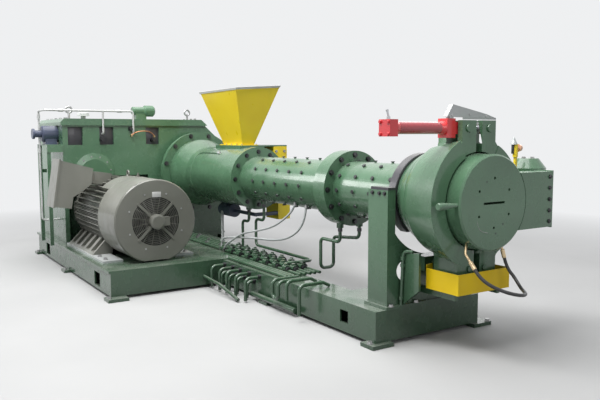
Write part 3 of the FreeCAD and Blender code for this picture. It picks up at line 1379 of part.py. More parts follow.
def tempering():
    """Pipes that bring tempering water to the barrels from the side of the frame."""
    radius = z.temper_pipe_radius.number
    side = -z.frame_half_width.number
    outer = z.outer_row_y.number
    inner = z.inner_row_y.number
    deck = z.frame_top.number
    bend = 3 * radius
    floor = z.pipe_foot.number
    outer_height = z.outer_row_height.number
    inner_height = z.inner_row_height.number
    lying = deck + radius + z.running_gap.number
    runs = []
    for k, x in enumerate((-3084, -2899, -2743, -2552, -2349)):
        runs.append(pipe(f"OuterRow{k}", [
            from_machine(x, side, outer_height), from_machine(x, outer, outer_height),
            from_machine(x, outer, floor),
        ], radius, bend))
    for k, x in enumerate((-2990, -2820, -2650, -2450)):
        runs.append(pipe(f"InnerRow{k}", [
            from_machine(x, side, inner_height), from_machine(x, inner, inner_height),
            from_machine(x, inner, floor),
        ], radius, bend))
    for k, (x, low) in enumerate(((-1690, 150), (-1490, 60))):
        runs.append(pipe(f"DeckRow{k}", [
            from_machine(x, side + 200, lying - 0.1 * radius), from_machine(x, side + 140, deck + radius + 30),
            from_machine(x, inner - 20, deck + radius + 30), from_machine(x, inner - 20, low),
        ], radius, bend))
    runs.append(pipe("ReturnBend", [
        from_machine(-1930, side + 160, lying), from_machine(-1930, inner - 20, lying),
        from_machine(-1930, inner - 20, 130), from_machine(-1830, inner - 20, 130),
        from_machine(-1830, inner - 20, lying), from_machine(-1830, side + 160, lying),
    ], radius, bend))
    runs.append(pipe("LowPipe", [
        from_machine(z.drive_front.number + 1, z.low_pipe_y.number, 120),
        from_machine(-2780, z.low_pipe_y.number, 100), from_machine(-2380, z.low_pipe_y.number, 26),
    ], radius, bend))
    node("tempering_pipes", together("TemperPipes", *runs))

    mains = []
    for k, (y, back, front) in enumerate(((-585, -2420, -1650), (-480, -3120, -1960), (-440, -3120, -1960),
                                          (-400, -3120, -1960))):
        if k == 0:
            height, size = z.main_height, z.main_radius
        else:
            height, size = z.frame_top + z.temper_pipe_radius, z.temper_pipe_radius
        mains.append(bar(f"Main{k}", "x", size, (lift(back), lift(front)), (lift(y), height)))
    node("pipe_mains", together("PipeMains", *mains))

    bosses = []
    spots = ((z.rear_port, 0, z.housing_radius), (z.second_port, 0, z.barrel_radius),
             (z.loop_port, -50, z.middle_flange_radius), (z.loop_return, 100, z.middle_flange_radius))
    low_ends = []
    for k, (x, y, ring) in enumerate(spots):
        rise = math.sqrt(ring.number ** 2 - y ** 2)
        low = z.screw_axis_height - rise - z.port_length
        low_ends.append(low.number)
        whole = bar(f"Port{k}", "z", 2 * z.temper_pipe_radius, (low, low + 2 * z.port_length), (x, lift(y)))
        seat = bar(f"PortSeat{k}", "x", ring + z.running_gap, (x - 60, x + 60), AXIS)
        bosses.append(cut(f"PortSeated{k}", whole, seat))
    node("pipe_ports", together("PipePorts", *bosses))

    rear, second = z.rear_port.number, z.second_port.number
    leave, back = z.loop_port.number, z.loop_return.number
    low, high, loop = z.loop_low.number, z.loop_high.number, z.loop_back.number
    foot, foot_bend = z.drop_foot.number, z.drop_foot_bend.number
    turn, turn_height = z.drop_turn.number, z.drop_turn_height.number
    end, end_y, run = z.drop_end.number, z.drop_end_y.number, z.drop_run_height.number
    drops = [
        pipe("DropRear", [
            from_machine(rear, 0, low_ends[0]), from_machine(rear, 0, foot_bend), from_machine(foot, 0, foot_bend),
            from_machine(foot, 0, z.drive_top.number)], radius, bend),
        pipe("DropSecond", [
            from_machine(second, 0, low_ends[1]), from_machine(second, 0, turn_height),
            from_machine(turn, 0, turn_height), from_machine(turn, 0, run), from_machine(end, 0, run),
            from_machine(end, end_y, run), from_machine(end, end_y, deck)], radius, bend),
        pipe("DropLoop", [
            from_machine(leave, -50, low_ends[2]), from_machine(leave, -50, high),
            from_machine(loop, -50, high), from_machine(loop, -50, low), from_machine(loop, 100, low),
            from_machine(loop, 100, high), from_machine(back, 100, high + 40),
            from_machine(back, 100, low_ends[3])], radius, bend),
    ]
    node("drop_pipes", together("DropPipes", *drops))


def head_hose():
    """The hose that hangs in a loop before the head, with its two fittings screwed into the head."""
    radius = z.fitting_radius.number
    reach = z.sleeve_length.number
    seat = bar("FittingSeat", "x", z.head_radius + z.running_gap, (z.head_back, 0), AXIS)
    route = [
        (60, -246, 669), (102, -246, 624), (166, -214, 576), (232, -159, 542), (267, -79, 517),
        (257, 10, 499), (214, 90, 488), (148, 154, 484), (78, 196, 500), (14, 213, 556),
        (-38, 190, 620), (-48, 172, 695),
    ]
    fittings = []
    for name, into, elbow, end in (("Near", (-69, -193, 842), (-29.4, -246, 764.8), route[0]),
                                   ("Far", (-66.3, 139.1, 831.9), None, route[-1])):
        points = [into, elbow, end] if elbow else [into, end]
        stem = pipe(f"{name}Stem", [from_machine(*p) for p in points], radius, 3 * radius)
        last = Vector(*end)
        toward = Vector(*points[-2]) - last
        start = last + toward.normalize() * reach
        sleeve = pipe(f"{name}Sleeve", [from_machine(*start), from_machine(*end)], z.sleeve_radius.number)
        fittings.append(cut(f"{name}Fitting", join(f"{name}Joined", stem, sleeve), seat))
    node("hose_fittings", together("HoseFittings", *fittings))
    node("head_hose", pipe("HeadHose", [from_machine(*p) for p in route], z.hose_radius.number))


drive_base()
barrel_frame()
floor_pads()
gearbox()
output_flange()
pad_top = feed_housing()
hopper(pad_top)
feed_roll()
barrels()
end_ring()
head()
clamp_half(-1)
clamp_half(1)
clamp_pins()
clamp_cylinder()
clamp_guard()
head_hinge()
drip_tray()
barrel_stand()
motor()
terminal_box()
coupling()
pump_unit()
oil_parts()
tempering()
head_hose()

doc.recompute()
for thing in doc.Objects:
    if "Invalid" in thing.State or "Error" in thing.State:
        raise RuntimeError(f"{thing.Name} failed: {thing.State}")
for thing in NODES:
    if thing.Shape.isNull() or not thing.Shape.isValid():
        raise RuntimeError(f"{thing.Label} has no valid shape")

os.makedirs("parts", exist_ok=True)
for thing in NODES:
    thing.Shape.exportStep(f"parts/{thing.Label}.step")
    box = thing.Shape.BoundBox
    print(f"{thing.Label}: {len(thing.Shape.Solids)} solids, {thing.Shape.Volume / 1e9:.4f} m3, "
          f"x {box.XMin:.0f}..{box.XMax:.0f}, y {box.YMin:.0f}..{box.YMax:.0f}, z {box.ZMin:.0f}..{box.ZMax:.0f}")
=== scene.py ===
import bpy
import bmesh
import math
from mathutils import Matrix, Vector


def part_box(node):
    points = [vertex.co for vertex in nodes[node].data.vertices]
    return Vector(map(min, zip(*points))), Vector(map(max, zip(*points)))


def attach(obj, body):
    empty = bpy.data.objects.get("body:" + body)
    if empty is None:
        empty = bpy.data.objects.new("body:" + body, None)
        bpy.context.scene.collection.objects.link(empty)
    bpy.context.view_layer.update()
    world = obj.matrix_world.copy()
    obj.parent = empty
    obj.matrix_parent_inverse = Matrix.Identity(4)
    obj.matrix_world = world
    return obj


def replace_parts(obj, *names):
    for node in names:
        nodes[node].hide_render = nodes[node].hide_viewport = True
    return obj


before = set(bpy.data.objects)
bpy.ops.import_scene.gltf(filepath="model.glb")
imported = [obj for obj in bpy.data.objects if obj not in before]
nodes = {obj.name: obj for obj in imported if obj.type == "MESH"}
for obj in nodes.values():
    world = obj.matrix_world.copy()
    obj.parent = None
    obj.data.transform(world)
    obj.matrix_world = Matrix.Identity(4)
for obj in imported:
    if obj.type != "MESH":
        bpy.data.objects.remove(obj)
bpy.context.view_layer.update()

headLow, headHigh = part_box("head_body")
dieFace = headHigh.x
screwY = (headLow.y + headHigh.y) / 2
screwZ = 1.1
motorY, motorZ = -1.18, 0.7  # the motor's axis, from the screw's axis and the floor


def at(x, y, z):  # x from the die face, y from the screw's axis, z from the floor
    return Vector((dieFace + x, screwY + y, z))


# the camera stands where the photograph was taken: metres, degrees, and millimetres for the lens
view = {"place": (3.125, -3.618, 1.569), "turn": 32.846, "down": 5.517, "roll": -0.195,
        "lens": 40.02, "sensor": 36, "reach": 200}


def addCamera():
    turn, down, roll = (math.radians(view[k]) for k in ("turn", "down", "roll"))
    forward = Vector((-math.cos(turn) * math.cos(down), math.sin(turn) * math.cos(down), -math.sin(down)))
    right = forward.cross(Vector((0, 0, 1))).normalized()
    up = right.cross(forward)
    across = right * math.cos(roll) + up * math.sin(roll)
    upright = up * math.cos(roll) - right * math.sin(roll)
    data = bpy.data.cameras.new("photoCamera")
    data.lens = view["lens"]
    data.sensor_width = view["sensor"]
    data.clip_end = view["reach"]
    camera = bpy.data.objects.new("photoCamera", data)
    bpy.context.scene.collection.objects.link(camera)
    turned = Matrix((across, upright, -forward)).transposed().to_4x4()
    camera.matrix_world = Matrix.Translation(at(*view["place"])) @ turned
    bpy.context.scene.camera = camera


addCamera()
print("camera set")


def wire(tree, source, target):
    tree.links.new(source, target)


def noiseAt(tree, coords, scale, detail, stretch=None):
    noise = tree.nodes.new("ShaderNodeTexNoise")
    noise.inputs["Scale"].default_value = scale
    noise.inputs["Detail"].default_value = detail
    if stretch:
        mapping = tree.nodes.new("ShaderNodeMapping")
        mapping.inputs["Scale"].default_value = stretch
        wire(tree, coords, mapping.inputs["Vector"])
        coords = mapping.outputs["Vector"]
    wire(tree, coords, noise.inputs["Vector"])
    return noise.outputs["Fac"]


def spread(tree, value, low, high, to=(0, 1)):
    ramp = tree.nodes.new("ShaderNodeMapRange")
    for name, number in zip(("From Min", "From Max", "To Min", "To Max"), (low, high, *to)):
        ramp.inputs[name].default_value = number
    wire(tree, value, ramp.inputs["Value"])
    return ramp.outputs["Result"]


def grain(tree, coords, scale, detail, edges, to=(0, 1), stretch=None):  # noise spread between two edges
    return spread(tree, noiseAt(tree, coords, scale, detail, stretch), *edges, to)


def mixed(tree, factor, first, second):
    mix = tree.nodes.new("ShaderNodeMix")
    mix.data_type = "RGBA"
    wire(tree, factor, mix.inputs["Factor"])
    for socket, value in ((mix.inputs[6], first), (mix.inputs[7], second)):  # the sockets for colours
        if isinstance(value, tuple):
            socket.default_value = (*value, 1)
        else:
            wire(tree, value, socket)
    return mix.outputs[2]


def timesOf(tree, first, second):
    times = tree.nodes.new("ShaderNodeMath")
    times.operation = "MULTIPLY"
    wire(tree, first, times.inputs[0])
    if isinstance(second, (int, float)):
        times.inputs[1].default_value = second
    else:
        wire(tree, second, times.inputs[1])
    return times.outputs[0]


def axesOf(tree, vector):
    parts = tree.nodes.new("ShaderNodeSeparateXYZ")
    wire(tree, vector, parts.inputs[0])
    return parts.outputs


def bumped(tree, height, strength, distance):
    bump = tree.nodes.new("ShaderNodeBump")
    bump.inputs["Strength"].default_value = strength
    bump.inputs["Distance"].default_value = distance
    wire(tree, height, bump.inputs["Height"])
    return bump.outputs["Normal"]


def newMaterial(name):
    material = bpy.data.materials.new(name)
    material.use_nodes = True
    tree = material.node_tree
    coords = tree.nodes.new("ShaderNodeTexCoord").outputs["Object"]
    return material, tree, tree.nodes["Principled BSDF"], coords


# paints: two tones of each colour, roughness, clear coat, and how far painted shade darkens it towards the
# floor
paints = {
    "machineGreen": {"colour": (0.100, 0.205, 0.118), "deep": (0.072, 0.160, 0.088),
                     "rough": 0.22, "coat": 0.36, "shade": 0.8},
    "motorGrey": {"colour": (0.200, 0.203, 0.175), "deep": (0.150, 0.152, 0.130),
                  "rough": 0.36, "coat": 0.3, "shade": 0.25},
    "hopperYellow": {"colour": (0.97, 0.745, 0.02), "deep": (0.90, 0.66, 0.015), "rough": 0.33, "coat": 0.3},
    "trayYellow": {"colour": (0.86, 0.60, 0.0), "deep": (0.74, 0.50, 0.0), "rough": 0.48, "coat": 0.0},
    "cylinderRed": {"colour": (0.78, 0.045, 0.05), "deep": (0.62, 0.03, 0.04), "rough": 0.27, "coat": 0.5},
    "tubeRed": {"colour": (0.42, 0.035, 0.05), "deep": (0.34, 0.028, 0.042), "rough": 0.2, "coat": 0.8},
    "pumpBlue": {"colour": (0.070, 0.088, 0.15), "deep": (0.050, 0.062, 0.11), "rough": 0.4, "coat": 0.2},
    "pipeWhite": {"colour": (0.62, 0.63, 0.62), "deep": (0.50, 0.51, 0.50), "rough": 0.3, "coat": 0.3},
    "guardGrey": {"colour": (0.52, 0.54, 0.54), "deep": (0.42, 0.44, 0.44), "rough": 0.38, "coat": 0.2},
    "darkIron": {"colour": (0.060, 0.058, 0.066), "deep": (0.036, 0.035, 0.042), "rough": 0.36, "coat": 0.15},
}
paintWearAndShade = {
    "patches": {"scale": 1.6, "detail": 5, "edges": (0.35, 0.65)},
    "streaks": {"scale": 5.0, "detail": 6, "edges": (0.56, 0.78), "stretch": (1, 1, 0.16)},
    "streakHeight": 0.75, "streakAbove": 0.18, "grime": (0.055, 0.05, 0.042), "grimeAmount": 0.5,
    # painted shade towards the floor: the height where it ends and how dark it gets
    "shadeHeight": 1.05, "shadeDepth": 0.25,
    "dustGrain": {"scale": 3.5, "detail": 6, "edges": (0.3, 0.7)},
    "facingUp": (0.55, 1.0), "dust": (0.46, 0.45, 0.42), "dustAmount": 0.32,
    "roughGrain": {"scale": 9, "detail": 5, "edges": (0.3, 0.7)}, "smoother": 0.06, "rougher": 0.12,
    "coatRough": 0.07, "peelScale": 160, "peelDetail": 2, "peelStrength": 0.10, "peelDepth": 0.002,
}


def paint(name):
    look, wear = paints[name], paintWearAndShade
    material, tree, shader, coords = newMaterial(name)
    colour = mixed(tree, grain(tree, coords, **wear["patches"]), look["deep"], look["colour"])
    height = axesOf(tree, coords)["Z"]
    streaks = grain(tree, coords, **wear["streaks"])
    nearFloor = spread(tree, height, 0.0, wear["streakHeight"], (1, wear["streakAbove"]))
    grime = timesOf(tree, timesOf(tree, streaks, nearFloor), wear["grimeAmount"])
    colour = mixed(tree, grime, colour, wear["grime"])
    # painted shade: the colour darkens smoothly towards the floor, most at the floor and none at shadeHeight
    if "shade" in look:
        low = spread(tree, height, 0.0, wear["shadeHeight"], (look["shade"], 0))
        colour = mixed(tree, low, colour, tuple(wear["shadeDepth"] * c for c in look["deep"]))
    normal = tree.nodes.new("ShaderNodeNewGeometry").outputs["Normal"]
    upward = spread(tree, axesOf(tree, normal)["Z"], *wear["facingUp"])
    dusty = timesOf(tree, upward, grain(tree, coords, **wear["dustGrain"]))
    settled = timesOf(tree, dusty, wear["dustAmount"])
    colour = mixed(tree, settled, colour, wear["dust"])
    wire(tree, colour, shader.inputs["Base Color"])
    rough = (look["rough"] - wear["smoother"], look["rough"] + wear["rougher"])
    wire(tree, grain(tree, coords, to=rough, **wear["roughGrain"]), shader.inputs["Roughness"])
    shader.inputs["Coat Weight"].default_value = look["coat"]
    shader.inputs["Coat Roughness"].default_value = wear["coatRough"]
    peel = noiseAt(tree, coords, wear["peelScale"], wear["peelDetail"])
    wire(tree, bumped(tree, peel, wear["peelStrength"], wear["peelDepth"]), shader.inputs["Normal"])
    return material


# bare metals: two tones, roughness, and the scale of the tool marks
metals = {
    "brightSteel": {"colour": (0.60, 0.61, 0.63), "deep": (0.42, 0.43, 0.45), "rough": 0.26, "scale": 60},
    "zincBolt": {"colour": (0.50, 0.50, 0.50), "deep": (0.30, 0.30, 0.30), "rough": 0.36, "scale": 40},
    "blackBolt": {"colour": (0.10, 0.10, 0.105), "deep": (0.05, 0.05, 0.055), "rough": 0.38, "scale": 40},
    "platedBrass": {"colour": (0.66, 0.52, 0.33), "deep": (0.45, 0.34, 0.20), "rough": 0.28, "scale": 50},
    "copperTube": {"colour": (0.75, 0.36, 0.20), "deep": (0.50, 0.22, 0.12), "rough": 0.30, "scale": 45},
}
metalWear = {
    "tone": {"scale": 7, "detail": 6, "edges": (0.3, 0.7)},
    "roughDetail": 4, "roughEdges": (0.3, 0.7), "smoother": 0.06, "rougher": 0.14,
    "lineDetail": 3, "lineStretch": (0.05, 4, 4), "lineStrength": 0.06, "lineDepth": 0.001,
}


def metal(name):
    look, wear = metals[name], metalWear
    material, tree, shader, coords = newMaterial(name)
    tone = grain(tree, coords, **wear["tone"])
    wire(tree, mixed(tree, tone, look["deep"], look["colour"]), shader.inputs["Base Color"])
    shader.inputs["Metallic"].default_value = 1.0
    rough = grain(tree, coords, look["scale"], wear["roughDetail"], wear["roughEdges"],
                  (look["rough"] - wear["smoother"], look["rough"] + wear["rougher"]))
    wire(tree, rough, shader.inputs["Roughness"])
    lines = noiseAt(tree, coords, look["scale"], wear["lineDetail"], wear["lineStretch"])
    wire(tree, bumped(tree, lines, wear["lineStrength"], wear["lineDepth"]), shader.inputs["Normal"])
    return material


# rubber, plastics and the blank plates: two tones, roughness, and the scale of the surface's grain
plastics = {
    "hoseRubber": {"colour": (0.018, 0.018, 0.019), "deep": (0.03, 0.03, 0.031), "rough": 0.42, "scale": 220},
    "darkPlastic": {"colour": (0.030, 0.032, 0.034), "deep": (0.020, 0.021, 0.023), "rough": 0.6,
                    "scale": 180},
    "knobOrange": {"colour": (0.86, 0.52, 0.36), "deep": (0.78, 0.44, 0.29), "rough": 0.35, "scale": 120},
    "blankWhite": {"colour": (0.58, 0.58, 0.57), "deep": (0.50, 0.50, 0.49), "rough": 0.4, "scale": 60},
}
plasticWear = {
    "tone": {"scale": 12, "detail": 5, "edges": (0.35, 0.65)},
    "roughGrain": {"scale": 30, "detail": 4, "edges": (0.3, 0.7)}, "smoother": 0.07, "rougher": 0.10,
    "bumpDetail": 3, "bumpStrength": 0.12, "bumpDepth": 0.001,
}


def plastic(name):
    look, wear = plastics[name], plasticWear
    material, tree, shader, coords = newMaterial(name)
    tone = grain(tree, coords, **wear["tone"])
    wire(tree, mixed(tree, tone, look["deep"], look["colour"]), shader.inputs["Base Color"])
    rough = (look["rough"] - wear["smoother"], look["rough"] + wear["rougher"])
    wire(tree, grain(tree, coords, to=rough, **wear["roughGrain"]), shader.inputs["Roughness"])
    bumps = noiseAt(tree, coords, look["scale"], wear["bumpDetail"])
    wire(tree, bumped(tree, bumps, wear["bumpStrength"], wear["bumpDepth"]), shader.inputs["Normal"])
    return material


materials = {name: paint(name) for name in paints}
materials.update({name: metal(name) for name in metals})
materials.update({name: plastic(name) for name in plastics})

dressing = {
    "motorGrey": ("motor_body", "motor_cowl", "fan_motor", "motor_feet", "terminal_box", "terminal_lid"),
    "hopperYellow": ("feed_hopper", "feed_roll_housing", "roll_guard", "limit_switch"),
    "trayYellow": ("drip_tray",),
    "cylinderRed": ("clamp_cylinder",),
    "pumpBlue": ("oil_pump", "roll_drive"),
    "pipeWhite": ("oil_pipes", "breather"),
    "guardGrey": ("clamp_guard", "motor_rails"),
    "darkIron": ("end_ring", "stand_brackets", "cooling_fan"),
    "brightSteel": ("clamp_rod",),
    "zincBolt": ("lifting_eyes",),
    "hoseRubber": ("head_hose",),
    "platedBrass": ("hose_fittings",),
}
finishOf = {node: finish for finish, names in dressing.items() for node in names}
for nodeName, thing in nodes.items():
    thing.data.materials.clear()
    thing.data.materials.append(materials[finishOf.get(nodeName, "machineGreen")])
print("materials made")


def settle(piece, finish, body):
    bpy.context.scene.collection.objects.link(piece)
    piece.data.materials.append(materials[finish])
    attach(piece, body)
    return piece


def newPiece(name, bm, finish, body="frame", sharp=35):
    bmesh.ops.recalc_face_normals(bm, faces=bm.faces)
    mesh = bpy.data.meshes.new(name)
    bm.to_mesh(mesh)
    bm.free()
    mesh.shade_smooth()
    mesh.set_sharp_from_angle(angle=math.radians(sharp))
    return settle(bpy.data.objects.new(name, mesh), finish, body)


tubes = {"sides": 3, "order": 3, "steps": 10}


def tubePiece(name, routes, radius, finish):
    curve = bpy.data.curves.new(name, "CURVE")
    curve.dimensions = "3D"
    curve.bevel_depth = 1  # each point's own radius gives the thickness
    curve.bevel_resolution = tubes["sides"]
    curve.use_fill_caps = True
    for route in routes:
        line = curve.splines.new("NURBS")
        line.points.add(len(route) - 1)
        for point, place in zip(line.points, route):
            point.co = (*at(*place), 1)
            point.radius = radius
        line.order_u = tubes["order"]
        line.use_endpoint_u = True
        line.resolution_u = tubes["steps"]
    return settle(bpy.data.objects.new(name, curve), finish, "frame")


weldGap = 0.00005


def mergedCopy(node):  # a node's mesh with its loose triangles joined
    bm = bmesh.new()
    bm.from_mesh(nodes[node].data)
    bmesh.ops.remove_doubles(bm, verts=bm.verts, dist=weldGap)
    return bm


def facing(axis):
    return Vector((0, 0, 1)).rotation_difference(Vector(axis)).to_matrix().to_4x4()


def outward(turn):  # a step of one metre away from an axis that lies along the machine
    return Vector((0, math.cos(turn), math.sin(turn)))


def addRod(bm, start, end, radius, segments, tip=None):
    start, end = Vector(start), Vector(end)
    spot = Matrix.Translation((start + end) / 2) @ facing(end - start)
    bmesh.ops.create_cone(bm, cap_ends=True, segments=segments, radius1=radius,
                          radius2=radius if tip is None else tip, depth=(end - start).length, matrix=spot)


def addHex(bm, start, end, radius):
    addRod(bm, start, end, radius, 6)


bolt = {"washer": 1.25, "washerHigh": 0.22, "washerSides": 14, "headFrom": 0.2, "headSides": 6, "taper": 0.92}


def addBolt(bm, place, axis, size):  # its shape is in shares of the head's size
    axis = Vector(axis).normalized()
    addRod(bm, place, place + axis * size * bolt["washerHigh"], size * bolt["washer"], bolt["washerSides"])
    addRod(bm, place + axis * size * bolt["headFrom"], place + axis * size, size, bolt["headSides"],
           size * bolt["taper"])


def addPlate(bm, low, high, soften=0.0):
    low, high = Vector(low), Vector(high)
    spot = Matrix.Translation((low + high) / 2) @ Matrix.Diagonal((*(high - low), 1))
    made = bmesh.ops.create_cube(bm, size=1, matrix=spot)
    if soften:
        edges = list({e for v in made["verts"] for e in v.link_edges})
        bmesh.ops.bevel(bm, geom=edges, offset=soften, segments=2, affect="EDGES", profile=0.5, material=-1)


def addRing(bm, centre, axis, radius, thick, steps, sides):
    turned = Matrix.Translation(centre) @ facing(axis)
    spot = turned @ Matrix.Translation((radius, 0, 0)) @ Matrix.Rotation(math.pi / 2, 4, "X")
    loop = bmesh.ops.create_circle(bm, segments=sides, radius=thick, matrix=spot)
    edges = list({e for v in loop["verts"] for e in v.link_edges})
    bmesh.ops.spin(bm, geom=edges, cent=centre, axis=axis, angle=2 * math.pi, steps=steps, use_merge=True)


def addTurned(bm, outline, steps=96):  # a closed outline spun round the screw's axis
    rim = [bm.verts.new(at(x, 0, screwZ + r)) for x, r in outline]
    edges = [bm.edges.new((rim[k - 1], rim[k])) for k in range(len(rim))]
    bmesh.ops.spin(bm, geom=edges, cent=at(0, 0, screwZ), axis=(1, 0, 0), angle=2 * math.pi, steps=steps,
                   use_merge=True)


def addArc(bm, outline, first, last, steps, y=0, z=screwZ):  # a closed outline swept round part of a turn
    centre = at(0, y, z)
    rows = []
    for k in range(steps + 1):
        way = outward(math.radians(first + (last - first) * k / steps))
        rows.append([bm.verts.new(centre + Vector((x, 0, 0)) + way * r) for x, r in outline])
    for one, two in zip(rows, rows[1:]):
        for k in range(len(outline)):
            bm.faces.new((one[k - 1], one[k], two[k], two[k - 1]))
    bm.faces.new(rows[0])
    bm.faces.new(rows[-1][::-1])


def cutBelow(bm, height):
    return bmesh.ops.bisect_plane(bm, geom=bm.verts[:] + bm.edges[:] + bm.faces[:],
                                  plane_co=at(0, 0, height), plane_no=(0, 0, -1), clear_outer=True)


def ringPlaces(x, y, z, radius, count, first):
    turns = [math.radians(first + 360 * k / count) for k in range(count)]
    return [at(x, y + radius * math.cos(a), z + radius * math.sin(a)) for a in turns]


# the hose in front of the head, its route in metres from the die face
hose = {
    "diameter": 0.024,
    "route": [
        (0.060, -0.246, 0.669), (0.102, -0.246, 0.624), (0.166, -0.214, 0.576), (0.232, -0.159, 0.542),
        (0.267, -0.079, 0.517), (0.257, 0.010, 0.499), (0.214, 0.090, 0.488), (0.148, 0.154, 0.484),
        (0.078, 0.196, 0.500), (0.014, 0.213, 0.556), (-0.038, 0.190, 0.620), (-0.048, 0.172, 0.695),
    ],
    "length": 0.924, "steps": 24, "sides": 6,
}


def makeHose():
    piece = tubePiece("headHose", [hose["route"]], hose["diameter"] / 2, "hoseRubber")
    piece.data.splines[0].resolution_u = hose["steps"]
    piece.data.bevel_resolution = hose["sides"]
    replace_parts(piece, "head_hose")


makeHose()
print("hose hung")

# the barrel's end flange and the flared neck behind the clamp: distance from the die face, radius
neck = {
    "flange": ((-0.74, 0.24), (-0.74, 0.331), (-0.736, 0.335),
               (-0.664, 0.335), (-0.66, 0.331), (-0.66, 0.24)),
    "flare": ((-0.66, 0.245), (-0.66, 0.312), (-0.652, 0.318), (-0.585, 0.349), (-0.52, 0.377),
              (-0.508, 0.379), (-0.508, 0.34), (-0.385, 0.34), (-0.385, 0.40), (-0.325, 0.40),
              (-0.325, 0.245)),
    "flat": 0.834,  # the height at which the flange is cut flat
}


def makeNeck():
    bm = bmesh.new()
    addTurned(bm, neck["flange"])
    cut = cutBelow(bm, neck["flat"])
    bmesh.ops.holes_fill(bm, edges=[e for e in cut["geom_cut"] if isinstance(e, bmesh.types.BMEdge)])
    newPiece("barrelEndFlange", bm, "darkIron")
    bm = bmesh.new()
    addTurned(bm, neck["flare"])
    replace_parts(newPiece("headNeck", bm, "machineGreen", sharp=28), "end_ring")


# the clamp halves are copies of the nodes, with a flat mouth and slimmed towards the back
clamps = {
    "halves": (("clampNear", "clamp_half_near", "near_half"), ("clampFar", "clamp_half_far", "far_half")),
    "mouth": (-0.222, -0.149), "mouthRadius": (0.350, 0.427), "mouthTo": -0.15,
    "back": -0.495, "backRadius": 0.42, "rear": 0.378,
    "stepBack": -0.399, "stepRadius": (0.42, 0.435), "step": 0.404, "sunk": 0.008,
    "side": (0.436, 0.444), "sideStart": -0.4, "sideLength": 0.25, "front": 0.434,
}


def slimmed(x, radius):  # the outer radius that a point of the clamp gets
    if x < clamps["back"] and radius > clamps["backRadius"]:
        return clamps["rear"]
    if x < clamps["stepBack"] and clamps["stepRadius"][0] < radius < clamps["stepRadius"][1]:
        return clamps["step"] - clamps["sunk"]
    if clamps["side"][0] < radius < clamps["side"][1]:
        along = (x - clamps["sideStart"]) / clamps["sideLength"]
        return clamps["step"] + (clamps["front"] - clamps["step"]) * along
    return radius


def makeClamps():
    for name, node, body in clamps["halves"]:
        bm = mergedCopy(node)
        for vert in bm.verts:
            x = vert.co.x - dieFace
            out = Vector((0, vert.co.y - screwY, vert.co.z - screwZ))
            radius = out.length
            inMouth = clamps["mouth"][0] < x < clamps["mouth"][1]
            if inMouth and clamps["mouthRadius"][0] < radius < clamps["mouthRadius"][1]:
                x = clamps["mouthTo"]
            out *= slimmed(x, radius) / radius
            vert.co = (dieFace + x, screwY + out.y, screwZ + out.z)
        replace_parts(newPiece(name, bm, "machineGreen", body, sharp=30), node)


# the smooth flared shells on the clamp halves: first and last turn, then distance from the die face, radius
shellSteps = 72
shells = {
    "clampNearShell": ("near_half", 117, 243,
                       ((-0.50, 0.36), (-0.50, 0.384), (-0.437, 0.409), (-0.435, 0.421), (-0.40, 0.430),
                        (-0.121, 0.484), (-0.118, 0.481), (-0.118, 0.352))),
    "clampFarShell": ("far_half", -63, 63,
                      ((-0.50, 0.36), (-0.50, 0.384), (-0.437, 0.409), (-0.435, 0.421), (-0.40, 0.424),
                       (-0.147, 0.440), (-0.147, 0.352))),
}


def makeShells():
    for name, (body, first, last, outline) in shells.items():
        bm = bmesh.new()
        addArc(bm, outline, first, last, shellSteps)
        newPiece(name, bm, "machineGreen", body, sharp=25)


makeNeck()
makeClamps()
makeShells()
print("head shaped")

# bolt rings round an axis along the machine: x, centre y and z, circle, count, first turn, way, size
boltRings = {
    "outputBolts": ("blackBolt", [(-4.866, 0, screwZ, 0.479, 12, 15, 1, 0.023)]),
    "housingBolts": ("blackBolt", [(-3.321, 0, screwZ, 0.292, 12, 0, 1, 0.020)]),
    "middleBolts": ("blackBolt", [(-1.582, 0, screwZ, 0.296, 12, 0, 1, 0.020),
                                  (-1.75, 0, screwZ, 0.303, 12, 0, -1, 0.019)]),
    "cowlFaceScrews": ("zincBolt", [(-3.37, motorY, motorZ, 0.30, 8, 22.5, 1, 0.008)]),
}


def makeBoltRings():
    for name, (finish, rings) in boltRings.items():
        bm = bmesh.new()
        for *ring, way, size in rings:
            for place in ringPlaces(*ring):
                addBolt(bm, place, (way, 0, 0), size)
        newPiece(name, bm, finish)


makeBoltRings()

upwards, forwards, nearwards = (0, 0, 1), (1, 0, 0), (0, -1, 0)

